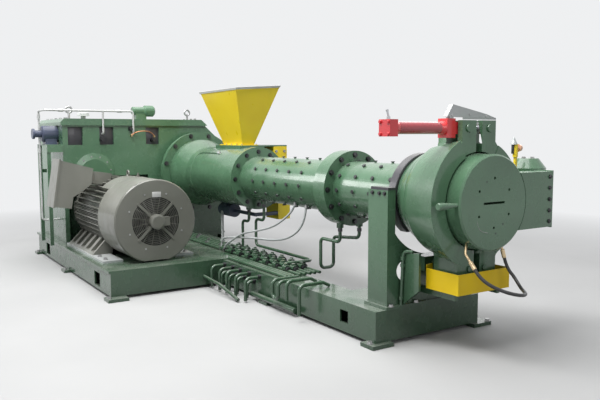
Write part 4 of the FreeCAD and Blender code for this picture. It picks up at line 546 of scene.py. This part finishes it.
# single bolts: finish, the body they ride on, the way the head points, size, places
boltRows = {
    "lidBolts": ("zincBolt", "frame", upwards, 0.018,
                 [(x, y, 1.78) for x in (-6.15, -5.92, -5.69, -5.46, -5.23, -5.1) for y in (-1.60, 0.04)]),
    "standFootBolts": ("zincBolt", "frame", upwards, 0.018,
                       [(x, y, 0.294) for x in (-0.86, -0.613) for y in (-0.40, -0.15, 0.15, 0.40)]),
    "motorFootBolts": ("zincBolt", "frame", upwards, 0.02,
                       [(x, y, 0.30) for x in (-5.02, -3.88, -3.68) for y in (-1.62, -0.74)]),
    "floorPadBolts": ("zincBolt", "frame", upwards, 0.02,
                      [(x, y, 0.03) for x, y in (
                          (-6.245, -1.766), (-4.78, -1.766), (-3.10, -1.766), (-6.245, 0.431),
                          (-4.78, 0.091), (-3.10, 0.091), (-0.646, -0.573), (-0.59, 0.628),
                          (-2.2, -0.573), (-1.215, 0.573))]),
    "armBolts": ("blackBolt", "frame", forwards, 0.013,
                 [(-0.006, 0.602, z) for z in (0.93, 1.01, 1.094, 1.178, 1.26)]),
    "postBolts": ("zincBolt", "frame", upwards, 0.012,
                  [(-0.33 + dx, 0.757 + dy, 1.385)
                   for dx, dy in ((0.045, 0), (-0.045, 0), (0, 0.045), (0, -0.045))]),
    "hopperFootBolts": ("zincBolt", "frame", upwards, 0.009,
                        [(x, y, 1.468) for x in (-4.088, -3.96, -3.835, -3.71, -3.582)
                         for y in (-0.068, 0.118)]),
    "bracketBolts": ("blackBolt", "frame", nearwards, 0.013,
                     [(x, -0.43, 1.14) for x in (-0.80, -0.72, -0.66)]),
    "rearCapBolts": ("cylinderRed", "cylinder", nearwards, 0.011,
                     [(-0.2475 + dx, -0.785, 1.617 + dz) for dx in (-0.04, 0.04) for dz in (-0.04, 0.04)]),
    "guardScrews": ("zincBolt", "cylinder", forwards, 0.006,
                    [(-0.2, -0.222, 1.705), (-0.2, -0.05, 1.712), (-0.2, 0.12, 1.704)]),
    "couplingBolts": ("zincBolt", "frame", nearwards, 0.009,
                      [(x, -1.44, z) for x in (-5.44, -5.19) for z in (0.33, 0.6, 0.9)]),
    "rollHousingBolts": ("zincBolt", "frame", forwards, 0.014,
                         [(-3.56, y, z) for y in (0.37, 0.48) for z in (0.92, 1.15, 1.39)]),
}


def makeBoltRows():
    for name, (finish, body, way, size, places) in boltRows.items():
        bm = bmesh.new()
        for place in places:
            addBolt(bm, at(*place), way, size)
        newPiece(name, bm, finish, body)


makeBoltRows()

# the bearing cover's screws, left out below its trimmed edge
coverScrews = {"ring": (-5.03, -1.32, 1.125, 0.2, 12, 10), "above": 1.11, "size": 0.011}


def makeCoverScrews():
    bm = bmesh.new()
    for place in ringPlaces(*coverScrews["ring"]):
        if place.z > coverScrews["above"]:
            addBolt(bm, place, forwards, coverScrews["size"])
    newPiece("coverScrews", bm, "zincBolt")


makeCoverScrews()
print("bolts set")

# the barrels' pins: where each barrel's rows start and how many they are
pins = {"starts": ((-3.01, 5), (-1.514, 4)), "pitch": 0.222, "around": 12, "reach": 0.2495,
        "proud": 0.0062, "size": 0.018, "sides": 12, "taper": 0.92}


def makePinNuts():
    bm = bmesh.new()
    for start, rows in pins["starts"]:
        for row in range(rows):
            centre = at(start + pins["pitch"] * row, 0, screwZ)
            for k in range(pins["around"]):
                way = outward(2 * math.pi * k / pins["around"])
                place = centre + way * pins["reach"]
                addRod(bm, place, place + way * pins["proud"], pins["size"], pins["sides"],
                       pins["size"] * pins["taper"])
    # the pins' dark colour is partly their own and partly painted shade of the holes they sit in
    newPiece("pinNuts", bm, "darkPlastic")


makePinNuts()

grille = {"x": -3.374, "wire": 0.0028, "inner": 0.095, "pitch": 0.0175, "rings": 10, "steps": 56, "sides": 6,
          "spokes": 16, "spokeFrom": 0.082, "spokeTo": 0.262}


def makeGrille():
    bm = bmesh.new()
    centre = at(grille["x"], motorY, motorZ)
    for k in range(grille["rings"]):
        addRing(bm, centre, (1, 0, 0), grille["inner"] + grille["pitch"] * k, grille["wire"],
                grille["steps"], grille["sides"])
    for k in range(grille["spokes"]):
        way = outward(2 * math.pi * (k + 0.5) / grille["spokes"])
        addRod(bm, centre + way * grille["spokeFrom"], centre + way * grille["spokeTo"], grille["wire"],
               grille["sides"])
    newPiece("fanGrille", bm, "motorGrey")


makeGrille()

# the dark end shield behind the fan
fanShield = {"outline": ((-3.798, 0.02), (-3.798, 0.415), (-3.790, 0.415), (-3.790, 0.02)),
             "turn": 359.9, "steps": 72}


def makeFanShield():
    bm = bmesh.new()
    addArc(bm, fanShield["outline"], 0, fanShield["turn"], fanShield["steps"], motorY, motorZ)
    newPiece("fanBackShield", bm, "darkPlastic")


makeFanShield()

hopperRim = {"low": 0.022, "lean": (0.008, 0.007), "thick": 0.005, "proud": 0.002, "middle": (-3.835, 0.025),
             "corners": ((-4.31, -0.247, 2.0895), (-3.36, -0.247, 2.0895), (-3.36, 0.31, 2.13),
                         (-4.31, 0.31, 2.13))}


def makeHopperRim():
    bm = bmesh.new()
    corners = [bm.verts.new(at(x, y, z + hopperRim["proud"])) for x, y, z in hopperRim["corners"]]
    edges = [bm.edges.new((corners[k], corners[(k + 1) % 4])) for k in range(4)]
    made = bmesh.ops.extrude_edge_only(bm, edges=edges)
    middle = at(*hopperRim["middle"], 0)
    for vert in made["geom"]:
        if isinstance(vert, bmesh.types.BMVert):  # the rim's lower edge leans inwards
            inX = math.copysign(hopperRim["lean"][0], middle.x - vert.co.x)
            inY = math.copysign(hopperRim["lean"][1], middle.y - vert.co.y)
            vert.co += Vector((inX, inY, -hopperRim["low"]))
    bmesh.ops.recalc_face_normals(bm, faces=bm.faces)
    bmesh.ops.solidify(bm, geom=bm.faces[:], thickness=-hopperRim["thick"])
    newPiece("hopperRim", bm, "blankWhite")


makeHopperRim()

motorEye = {"x": -4.21, "z": 1.112, "radius": 0.034, "thick": 0.009, "lift": 0.0391, "footHigh": 0.0085,
            "footRadius": 0.0306, "footSides": 20, "steps": 28, "sides": 10}


def makeMotorEye():
    bm = bmesh.new()
    foot = at(motorEye["x"], motorY, motorEye["z"])
    addRod(bm, foot, foot + Vector((0, 0, motorEye["footHigh"])), motorEye["footRadius"],
           motorEye["footSides"])
    centre = foot + Vector((0, 0, motorEye["lift"]))
    addRing(bm, centre, (0, 1, 0), motorEye["radius"], motorEye["thick"], motorEye["steps"],
            motorEye["sides"])
    newPiece("motorEyes", bm, "motorGrey")


blankPlate = {"low": (-3.37, -1.216, 0.947), "high": (-3.3665, -1.122, 1.003), "soften": 0.001}


def makeBlankPlate():
    bm = bmesh.new()
    addPlate(bm, at(*blankPlate["low"]), at(*blankPlate["high"]), blankPlate["soften"])
    newPiece("blankPlate", bm, "blankWhite")


# rolled bands round the cowl, cut off at its flat foot
cowlBands = {"places": (-3.94, -3.385), "radius": 0.427, "thick": 0.006, "steps": 72, "sides": 6,
             "foot": 0.302}


def makeCowlBands():
    bm = bmesh.new()
    for x in cowlBands["places"]:
        addRing(bm, at(x, motorY, motorZ), (1, 0, 0), cowlBands["radius"], cowlBands["thick"],
                cowlBands["steps"], cowlBands["sides"])
    cutBelow(bm, cowlBands["foot"])
    newPiece("cowlBands", bm, "motorGrey")


# the smooth cover over the fins behind the cowl
motorCover = {"outline": ((-4.215, 0.418), (-4.215, 0.428), (-3.945, 0.428), (-3.945, 0.418)),
              "first": 58, "last": 134, "steps": 40}


def makeMotorCover():
    bm = bmesh.new()
    addArc(bm, motorCover["outline"], motorCover["first"], motorCover["last"], motorCover["steps"],
           motorY, motorZ)
    newPiece("motorCover", bm, "motorGrey")


# the fine fins between the body's large ones, their first and last turn in degrees
fineFins = {"first": 166, "last": 226, "count": 25, "low": 0.345, "high": 0.398, "start": -5.06, "end": -3.94,
            "thick": 0.005}


def makeFineFins():
    low, high, start, end = (fineFins[k] for k in ("low", "high", "start", "end"))
    centre = Matrix.Translation(at((start + end) / 2, motorY, motorZ))
    shape = Matrix.Translation((0, (low + high) / 2, 0)) @ Matrix.Diagonal((end - start, high - low,
                                                                            fineFins["thick"], 1))
    bm = bmesh.new()
    for k in range(fineFins["count"]):
        turn = fineFins["first"] + (fineFins["last"] - fineFins["first"]) * k / (fineFins["count"] - 1)
        bmesh.ops.create_cube(bm, size=1, matrix=centre @ Matrix.Rotation(math.radians(turn), 4, "X") @ shape)
    newPiece("fineFins", bm, "motorGrey")


cowlStud = {"x": -3.88, "foot": 1.125, "top": 1.173, "radius": 0.010, "sides": 12,
            "nut": 0.018, "nutTop": 1.145}


def makeCowlStud():
    bm = bmesh.new()
    foot = at(cowlStud["x"], motorY, cowlStud["foot"])
    addRod(bm, foot, at(cowlStud["x"], motorY, cowlStud["top"]), cowlStud["radius"], cowlStud["sides"])
    addHex(bm, foot, at(cowlStud["x"], motorY, cowlStud["nutTop"]), cowlStud["nut"])
    newPiece("cowlStud", bm, "motorGrey")


makeMotorEye()
makeBlankPlate()
makeCowlBands()
makeMotorCover()
makeFineFins()
makeCowlStud()
print("motor dressed")

# the limit switch: dark plate, knob on a stem, pale cone, and the post cut off at the top in a yellow sleeve
switch = {
    "plate": ((-0.305, 0.5245, 1.425), (-0.285, 0.5415, 1.50)), "plateSoften": 0.004,
    "knob": (-0.29, 0.566, 1.468), "stemLength": 0.024, "stemRadius": 0.020,
    "buttonStart": 0.016, "buttonEnd": 0.046, "buttonRadius": 0.031, "buttonFace": 0.024,
    "cone": (-0.298, 0.546), "coneTop": 1.549, "coneRadius": 0.029, "coneTip": 0.005, "coneSunk": 0.001,
    "top": 1.497, "sleeve": (-0.29, 0.556), "sleeveFoot": 1.40, "sleeveRadius": 0.020,
    "sides": 24, "buttonSides": 28,
}


def makeSwitchBody():
    bm = bmesh.new()
    low, high = switch["plate"]
    addPlate(bm, at(*low), at(*high), switch["plateSoften"])
    newPiece("switchBody", bm, "darkPlastic")


def makeSwitchKnob():
    bm = bmesh.new()
    x, y, z = switch["knob"]
    addRod(bm, at(x, y, z), at(x, y + switch["stemLength"], z), switch["stemRadius"], switch["sides"])
    addRod(bm, at(x, y + switch["buttonStart"], z), at(x, y + switch["buttonEnd"], z),
           switch["buttonRadius"], switch["buttonSides"], switch["buttonFace"])
    newPiece("switchKnob", bm, "knobOrange")


def makeSwitchCone():
    bm = bmesh.new()
    x, y = switch["cone"]
    addRod(bm, at(x, y, switch["top"] - switch["coneSunk"]), at(x, y, switch["coneTop"]),
           switch["coneRadius"], switch["sides"], switch["coneTip"])
    newPiece("switchCone", bm, "guardGrey")


def makeSwitchPost():
    bm = mergedCopy("limit_switch")
    for vert in bm.verts:
        vert.co.z = min(vert.co.z, switch["top"])
    x, y = switch["sleeve"]
    addRod(bm, at(x, y, switch["sleeveFoot"]), at(x, y, switch["top"]), switch["sleeveRadius"],
           switch["sides"])
    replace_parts(newPiece("switchPost", bm, "hopperYellow"), "limit_switch")


makeSwitchBody()
makeSwitchKnob()
makeSwitchCone()
makeSwitchPost()

# the guard's lower edge, just over the clamp's lugs
skirt = {"x": -0.2, "thick": 0.003, "clear": 0.006, "high": 1.692, "start": -0.115}


def makeSkirt():
    lugTop = max(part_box(name)[1].z for name in ("clamp_half_near", "clamp_half_far"))
    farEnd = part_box("clamp_guard")[1].y - screwY
    bm = bmesh.new()
    addPlate(bm, at(skirt["x"] - skirt["thick"], skirt["start"], lugTop + skirt["clear"]),
             at(skirt["x"], farEnd, skirt["high"]))
    newPiece("guardSkirt", bm, "guardGrey", "cylinder")


makeSkirt()

swivelPins = {"back": -0.146, "front": -0.138, "sides": (-0.105, 0.105), "z": 1.617, "radius": 0.030,
              "face": 0.027, "faceSides": 28}


def makeSwivelPinEnds():
    bm = bmesh.new()
    for y in swivelPins["sides"]:
        addRod(bm, at(swivelPins["back"], y, swivelPins["z"]), at(swivelPins["front"], y, swivelPins["z"]),
               swivelPins["radius"], swivelPins["faceSides"], swivelPins["face"])
    newPiece("swivelPinEnds", bm, "machineGreen")


cylinderTube = {"start": (-0.2475, -0.676, 1.617), "end": (-0.2475, -0.302, 1.617), "radius": 0.0412,
                "sides": 48}


def makeCylinderTube():
    bm = bmesh.new()
    addRod(bm, at(*cylinderTube["start"]), at(*cylinderTube["end"]), cylinderTube["radius"],
           cylinderTube["sides"])
    newPiece("cylinderTube", bm, "tubeRed", "cylinder")


# the fitting on the cylinder's rear cap: steps from its foot, radius, sides
rearPort = {"foot": (-0.2475, -0.75, 1.673),
            "parts": (((0, 0), (0, 0.018), 0.013, 6),
                      ((0, 0.016), (-0.012, 0.058), 0.007, 14),
                      ((-0.010, 0.05), (-0.014, 0.064), 0.010, 6))}


def makeCylinderPorts():
    bm = bmesh.new()
    foot = at(*rearPort["foot"])
    for start, end, radius, sides in rearPort["parts"]:
        addRod(bm, foot + Vector((0, *start)), foot + Vector((0, *end)), radius, sides)
    newPiece("cylinderPorts", bm, "brightSteel", "cylinder")


makeSwivelPinEnds()
makeCylinderTube()
makeCylinderPorts()

lube = {
    "tube": [(-5.02, -0.85, 1.585), (-5.01, -0.80, 1.62), (-5.005, -0.70, 1.635), (-5.005, -0.60, 1.62),
             (-5.02, -0.56, 1.575)],
    "tubeRadius": 0.006,
    "nuts": ((-0.85, 1.575), (-0.56, 1.565)), "nutBack": -5.05, "nutFront": -5.008, "nutRadius": 0.013,
}


def makeLube():
    tubePiece("lubeTube", [lube["tube"]], lube["tubeRadius"], "copperTube")
    bm = bmesh.new()
    for y, z in lube["nuts"]:
        addHex(bm, at(lube["nutBack"], y, z), at(lube["nutFront"], y, z), lube["nutRadius"])
    newPiece("lubeNuts", bm, "platedBrass")


# the round fittings in the gearbox case's pockets
pocketFittings = {"places": ((-5.05, -0.86, 1.66), (-5.078, -1.22, 1.53), (-5.078, -0.57, 1.52)),
                  "shoulder": -5.02, "radius": 0.026, "sides": 20,
                  "hexBack": -5.03, "hexFront": -4.992, "hex": 0.020}


def makePocketFittings():
    bm = bmesh.new()
    for x, y, z in pocketFittings["places"]:
        addRod(bm, at(x, y, z), at(pocketFittings["shoulder"], y, z), pocketFittings["radius"],
               pocketFittings["sides"])
        addHex(bm, at(pocketFittings["hexBack"], y, z), at(pocketFittings["hexFront"], y, z),
               pocketFittings["hex"])
    newPiece("pocketFittings", bm, "blackBolt")


makeLube()
makePocketFittings()

conduits = {
    "radius": 0.011, "gland": 0.018, "glandLength": 0.035,
    "routes": [
        [(-3.66, -0.30, 0.28), (-3.66, -0.30, 0.40), (-3.55, -0.29, 0.44), (-2.93, -0.27, 0.505),
         (-2.62, -0.25, 0.52), (-2.38, -0.22, 0.56), (-2.20, -0.19, 0.66), (-2.13, -0.165, 0.80),
         (-2.13, -0.155, 0.915)],
        [(-3.54, -0.33, 0.28), (-3.54, -0.33, 0.34), (-3.35, -0.31, 0.44), (-3.17, -0.29, 0.53),
         (-2.87, -0.26, 0.59), (-2.60, -0.23, 0.66), (-2.40, -0.20, 0.78), (-2.33, -0.17, 0.86),
         (-2.31, -0.165, 0.925)],
    ],
}

# the pipes in lanes along the drive's deck and the barrel frame's deck
deckPipes = {
    "lanes": (-0.10, -0.155, -0.21, -0.265, -0.32), "radius": 0.015,
    "drive": (-4.95, -4.0, -3.15), "driveHeight": 0.297,
    "barrel": (-3.12, -2.5, -1.98), "barrelHeight": 0.287,
}


def makeDeckLines():
    runs = ((deckPipes["drive"], deckPipes["driveHeight"]), (deckPipes["barrel"], deckPipes["barrelHeight"]))
    lines = [[(x, y, z) for x in xs] for xs, z in runs for y in deckPipes["lanes"]]
    tubePiece("deckLines", lines, deckPipes["radius"], "machineGreen")


# hexagon and sleeve of each union: half length, height over the pipe, radius, sides
deckUnions = {"places": ((-4.7, 0), (-4.62, 1), (-4.52, 2), (-4.3, 1), (-4.12, 3), (-3.9, 0), (-3.85, 2),
                         (-3.62, 4), (-3.4, 1), (-3.32, 3)),
              "parts": ((0.022, 0.004, 0.021, 6), (0.034, 0.002, 0.018, 14))}


def makeDeckUnions():
    bm = bmesh.new()
    for x, lane in deckUnions["places"]:
        for half, lift, radius, sides in deckUnions["parts"]:
            y, z = deckPipes["lanes"][lane], deckPipes["driveHeight"] + lift
            addRod(bm, at(x - half, y, z), at(x + half, y, z), radius, sides)
    newPiece("deckUnions", bm, "zincBolt")


# valves with a collar each, in a row on every lane
deckValves = {
    "first": -3.62, "stagger": (0, 0.07, 0.02, 0.10, 0.05), "pitch": 0.19, "count": 8, "half": 0.03,
    "lift": 0.012, "radius": 0.028, "stemTop": 0.055, "stem": 0.017, "sides": 10,
    "collarLift": 0.006, "collarEnd": 0.062, "collar": 0.023,
}


def makeDeckValves():
    valves = bmesh.new()
    collars = bmesh.new()
    half, height = deckValves["half"], deckPipes["driveHeight"]
    lift, collarLift = height + deckValves["lift"], height + deckValves["collarLift"]
    for y, stagger in zip(deckPipes["lanes"], deckValves["stagger"]):
        for k in range(deckValves["count"]):
            x = deckValves["first"] + stagger + deckValves["pitch"] * k
            addRod(valves, at(x - half, y, lift), at(x + half, y, lift), deckValves["radius"],
                   deckValves["sides"])
            addRod(valves, at(x, y, lift), at(x, y, height + deckValves["stemTop"]), deckValves["stem"],
                   deckValves["sides"])
            addHex(collars, at(x + half, y, collarLift), at(x + deckValves["collarEnd"], y, collarLift),
                   deckValves["collar"])
    newPiece("deckValves", valves, "machineGreen")
    newPiece("deckCollars", collars, "blackBolt")


def makeConduitGlands():
    bm = bmesh.new()
    rise = Vector((0, 0, conduits["glandLength"]))
    for route in conduits["routes"]:
        foot, top = at(*route[0]), at(*route[-1])
        addHex(bm, foot, foot + rise, conduits["gland"])
        addHex(bm, top - rise, top, conduits["gland"])
    newPiece("conduitGlands", bm, "zincBolt")


tubePiece("sensorConduits", conduits["routes"], conduits["radius"], "guardGrey")
makeDeckLines()
makeDeckUnions()
makeDeckValves()
makeConduitGlands()

# nuts where the tempering pipes leave the frame's side, and unions on the drop pipes
pipeUnions = {
    "rows": (((-3.084, -2.899, -2.743, -2.552, -2.349), 0.227), ((-2.99, -2.82, -2.65, -2.45), 0.170)),
    "back": -0.542, "front": -0.572, "nut": 0.026,
    "drops": ((-3.554, 0, 0.70), (-3.209, 0, 0.79), (-1.73, -0.05, 0.70), (-1.64, 0.10, 0.70)),
    "dropLength": 0.03, "dropNut": 0.023,
}


def makePipeUnions():
    bm = bmesh.new()
    for places, height in pipeUnions["rows"]:
        for x in places:
            addHex(bm, at(x, pipeUnions["back"], height), at(x, pipeUnions["front"], height),
                   pipeUnions["nut"])
    for x, y, z in pipeUnions["drops"]:
        addHex(bm, at(x, y, z), at(x, y, z + pipeUnions["dropLength"]), pipeUnions["dropNut"])
    newPiece("pipeUnions", bm, "blackBolt")


# sleeves on the white oil pipes: place, and the way the pipe runs there
pipeSleeves = {"places": (((-5.32, -1.884, 1.40), (0, 0, 1)), ((-5.32, -1.884, 1.80), (0, 0, 1)),
                          ((-5.01, -1.70, 1.874), (0, 1, 0)), ((-5.01, -1.0, 1.874), (0, 1, 0))),
               "half": 0.03, "radius": 0.018, "sides": 20}


def makePipeSleeves():
    bm = bmesh.new()
    for place, way in pipeSleeves["places"]:
        along = Vector(way) * pipeSleeves["half"]
        addRod(bm, at(*place) - along, at(*place) + along, pipeSleeves["radius"], pipeSleeves["sides"])
    newPiece("pipeSleeves", bm, "pipeWhite")


makePipeUnions()
makePipeSleeves()

# the green pipe with its unions on the stand's front gusset
gusset = {
    "pipe": [(-0.50, -0.287, 0.712), (-0.55, -0.292, 0.712), (-0.583, -0.308, 0.70), (-0.588, -0.309, 0.64),
             (-0.594, -0.309, 0.50), (-0.601, -0.309, 0.38), (-0.606, -0.309, 0.294)],
    "radius": 0.012, "y": -0.309, "unions": ((-0.588, 0.655), (-0.590, 0.60), (-0.603, 0.35)),
    "half": 0.012, "union": 0.019,
}


def makeGusset():
    tubePiece("gussetPipe", [gusset["pipe"]], gusset["radius"], "machineGreen")
    bm = bmesh.new()
    for x, z in gusset["unions"]:
        addHex(bm, at(x, gusset["y"], z - gusset["half"]), at(x, gusset["y"], z + gusset["half"]),
               gusset["union"])
    newPiece("gussetUnions", bm, "machineGreen")


makeGusset()

# the thin seam pipe on the feed housing, with a little light fitting at its end
seam = {
    "route": [(-4.42, -0.21, 0.839), (-4.42, -0.30, 0.94), (-4.42, -0.339, 1.05), (-4.42, -0.334, 1.16),
              (-4.42, -0.286, 1.28), (-4.40, -0.216, 1.364), (-4.2, -0.207, 1.371), (-3.88, -0.207, 1.371)],
    "radius": 0.006, "half": 0.03, "fitting": 0.016, "sides": 16, "low": 0.014, "high": 0.028, "hex": 0.012,
}


def makeSeam():
    tubePiece("housingSeam", [seam["route"]], seam["radius"], "machineGreen")
    bm = bmesh.new()
    x, y, z = seam["route"][-1]
    addRod(bm, at(x - seam["half"], y, z), at(x + seam["half"], y, z), seam["fitting"], seam["sides"])
    addHex(bm, at(x, y, z - seam["low"]), at(x, y, z + seam["high"]), seam["hex"])
    newPiece("seamFitting", bm, "guardGrey")


# the die face's scratch, and its small holes as painted shade: thin dark discs flush with the face
faceMarks = {
    "scratch": [(0.0008, -0.17, 0.981), (0.0008, -0.158, 0.938), (0.0008, -0.118, 0.905),
                (0.0008, -0.059, 0.896)],
    "scratchRadius": 0.0013,
    "holes": ((0.092, 0.948), (-0.081, 1.25), (0.020, 0.886)), "holeRadius": 0.006, "holeBack": -0.004,
    "holeFront": 0.0006, "holeSides": 14,
}


def makeFaceMarks():
    tubePiece("faceScratch", [faceMarks["scratch"]], faceMarks["scratchRadius"], "blankWhite")
    bm = bmesh.new()
    # painted shade: each hole is a dark disc that stands for the shade inside it
    for y, z in faceMarks["holes"]:
        addRod(bm, at(faceMarks["holeBack"], y, z), at(faceMarks["holeFront"], y, z),
               faceMarks["holeRadius"], faceMarks["holeSides"])
    newPiece("faceHoleShades", bm, "darkPlastic")


makeSeam()
makeFaceMarks()

# the dark panels in the gearbox case's pockets
panels = {"back": -5.08, "front": -5.077, "low": 1.467, "high": 1.678, "centres": (-1.53, -1.155, -0.57),
          "half": 0.0855, "soften": 0.0006}


def makePanels():
    bm = bmesh.new()
    for y in panels["centres"]:
        addPlate(bm, at(panels["back"], y - panels["half"], panels["low"]),
                 at(panels["front"], y + panels["half"], panels["high"]), panels["soften"])
    newPiece("pocketPanels", bm, "darkIron")


# the pale pipe that stands on the deck under the feed housing: radius and top of the pipe and its foot
deckPost = {"place": (-4.2, -0.02), "deck": 0.28, "parts": ((0.018, 0.66), (0.032, 0.30)), "sides": 20}


def makeDeckPost():
    bm = bmesh.new()
    for radius, top in deckPost["parts"]:
        foot = at(*deckPost["place"], deckPost["deck"])
        addRod(bm, foot, at(*deckPost["place"], top), radius, deckPost["sides"])
    newPiece("deckPost", bm, "guardGrey")


makePanels()
makeDeckPost()
print("details made")


def seenPlainly(tree):  # rays that show the background: the camera's, and those of metal and glass
    rays = tree.nodes.new("ShaderNodeLightPath")
    seen = rays.outputs["Is Camera Ray"]
    for name in ("Is Glossy Ray", "Is Transmission Ray"):
        most = tree.nodes.new("ShaderNodeMath")
        most.operation = "MAXIMUM"
        wire(tree, seen, most.inputs[0])
        wire(tree, rays.outputs[name], most.inputs[1])
        seen = most.outputs[0]
    return seen


backdrop = (0.86, 0.87, 0.88)
floorLook = {
    "size": 60, "grain": {"scale": 0.6, "detail": 6, "edges": (0.3, 0.7)},
    "pale": ((0.40, 0.40, 0.398), (0.44, 0.44, 0.437)), "bounce": (0.20, 0.20, 0.195), "rough": 0.75,
    "fade": (4.6, 9.0),  # metres from the middle at which the floor turns into the backdrop
}


def paleFloor():
    material, tree, shader, coords = newMaterial("paleFloor")
    pale = mixed(tree, grain(tree, coords, **floorLook["grain"]), *floorLook["pale"])
    seen = seenPlainly(tree)
    wire(tree, mixed(tree, seen, floorLook["bounce"], pale), shader.inputs["Base Color"])
    shader.inputs["Roughness"].default_value = floorLook["rough"]
    far = tree.nodes.new("ShaderNodeVectorMath")
    far.operation = "DISTANCE"
    wire(tree, coords, far.inputs[0])
    glow = tree.nodes.new("ShaderNodeEmission")
    glow.inputs["Color"].default_value = (*backdrop, 1)
    fade = tree.nodes.new("ShaderNodeMixShader")
    edge = spread(tree, far.outputs["Value"], *floorLook["fade"])
    wire(tree, timesOf(tree, edge, seen), fade.inputs[0])
    wire(tree, shader.outputs[0], fade.inputs[1])
    wire(tree, glow.outputs[0], fade.inputs[2])
    wire(tree, fade.outputs[0], tree.nodes["Material Output"].inputs["Surface"])
    return material


def addFloor():
    bm = bmesh.new()
    bmesh.ops.create_grid(bm, x_segments=1, y_segments=1, size=floorLook["size"])
    mesh = bpy.data.meshes.new("studioFloor")
    bm.to_mesh(mesh)
    bm.free()
    floor = bpy.data.objects.new("studioFloor", mesh)
    bpy.context.scene.collection.objects.link(floor)
    mesh.materials.append(paleFloor())


# each lamp: place, the point it faces, its two sides in metres, watts
lamps = {
    "keyLamp": ((-2.0, -5.0, 8.5), (-2.8, 0, 0.9), (8, 3), 960),
    "topLamp": ((-3.0, -0.5, 7.5), (-3.0, -0.2, 0.5), (9, 4), 470),
    "frontLamp": ((7.5, -0.5, 4.0), (-1.5, 0, 1.0), (4, 3), 110),
    "farLamp": ((-6.0, 8.0, 5.5), (-3, 0, 1.0), (6, 4), 150),
    "leftLamp": ((-11.0, -7.0, 4.5), (-5.0, -0.8, 1.0), (4, 3), 260),
    "stripLamp": ((-2.0, -3.6, 6.0), (-2.8, 0, 1.0), (12, 0.3), 45),
}


def addLamps():
    for name, (place, target, size, power) in lamps.items():
        data = bpy.data.lights.new(name, "AREA")
        data.shape = "RECTANGLE"
        data.size, data.size_y = size
        data.energy = power
        lamp = bpy.data.objects.new(name, data)
        bpy.context.scene.collection.objects.link(lamp)
        lamp.location = at(*place)
        lamp.rotation_euler = (at(*target) - at(*place)).to_track_quat("-Z", "Y").to_euler()


sky = {"colour": (0.82, 0.86, 0.92), "strength": 0.26}


def addWorld():
    world = bpy.data.worlds.new("studioWorld")
    bpy.context.scene.world = world
    world.use_nodes = True
    tree = world.node_tree
    ambient = tree.nodes["Background"]
    ambient.inputs["Color"].default_value = (*sky["colour"], 1)
    ambient.inputs["Strength"].default_value = sky["strength"]
    behind = tree.nodes.new("ShaderNodeBackground")
    behind.inputs["Color"].default_value = (*backdrop, 1)
    mix = tree.nodes.new("ShaderNodeMixShader")
    wire(tree, seenPlainly(tree), mix.inputs[0])
    wire(tree, ambient.outputs[0], mix.inputs[1])
    wire(tree, behind.outputs[0], mix.inputs[2])
    wire(tree, mix.outputs[0], tree.nodes["World Output"].inputs["Surface"])


addFloor()
addLamps()
addWorld()
bpy.context.scene.view_settings.view_transform = "Standard"
print("studio lit")

bpy.context.view_layer.update()
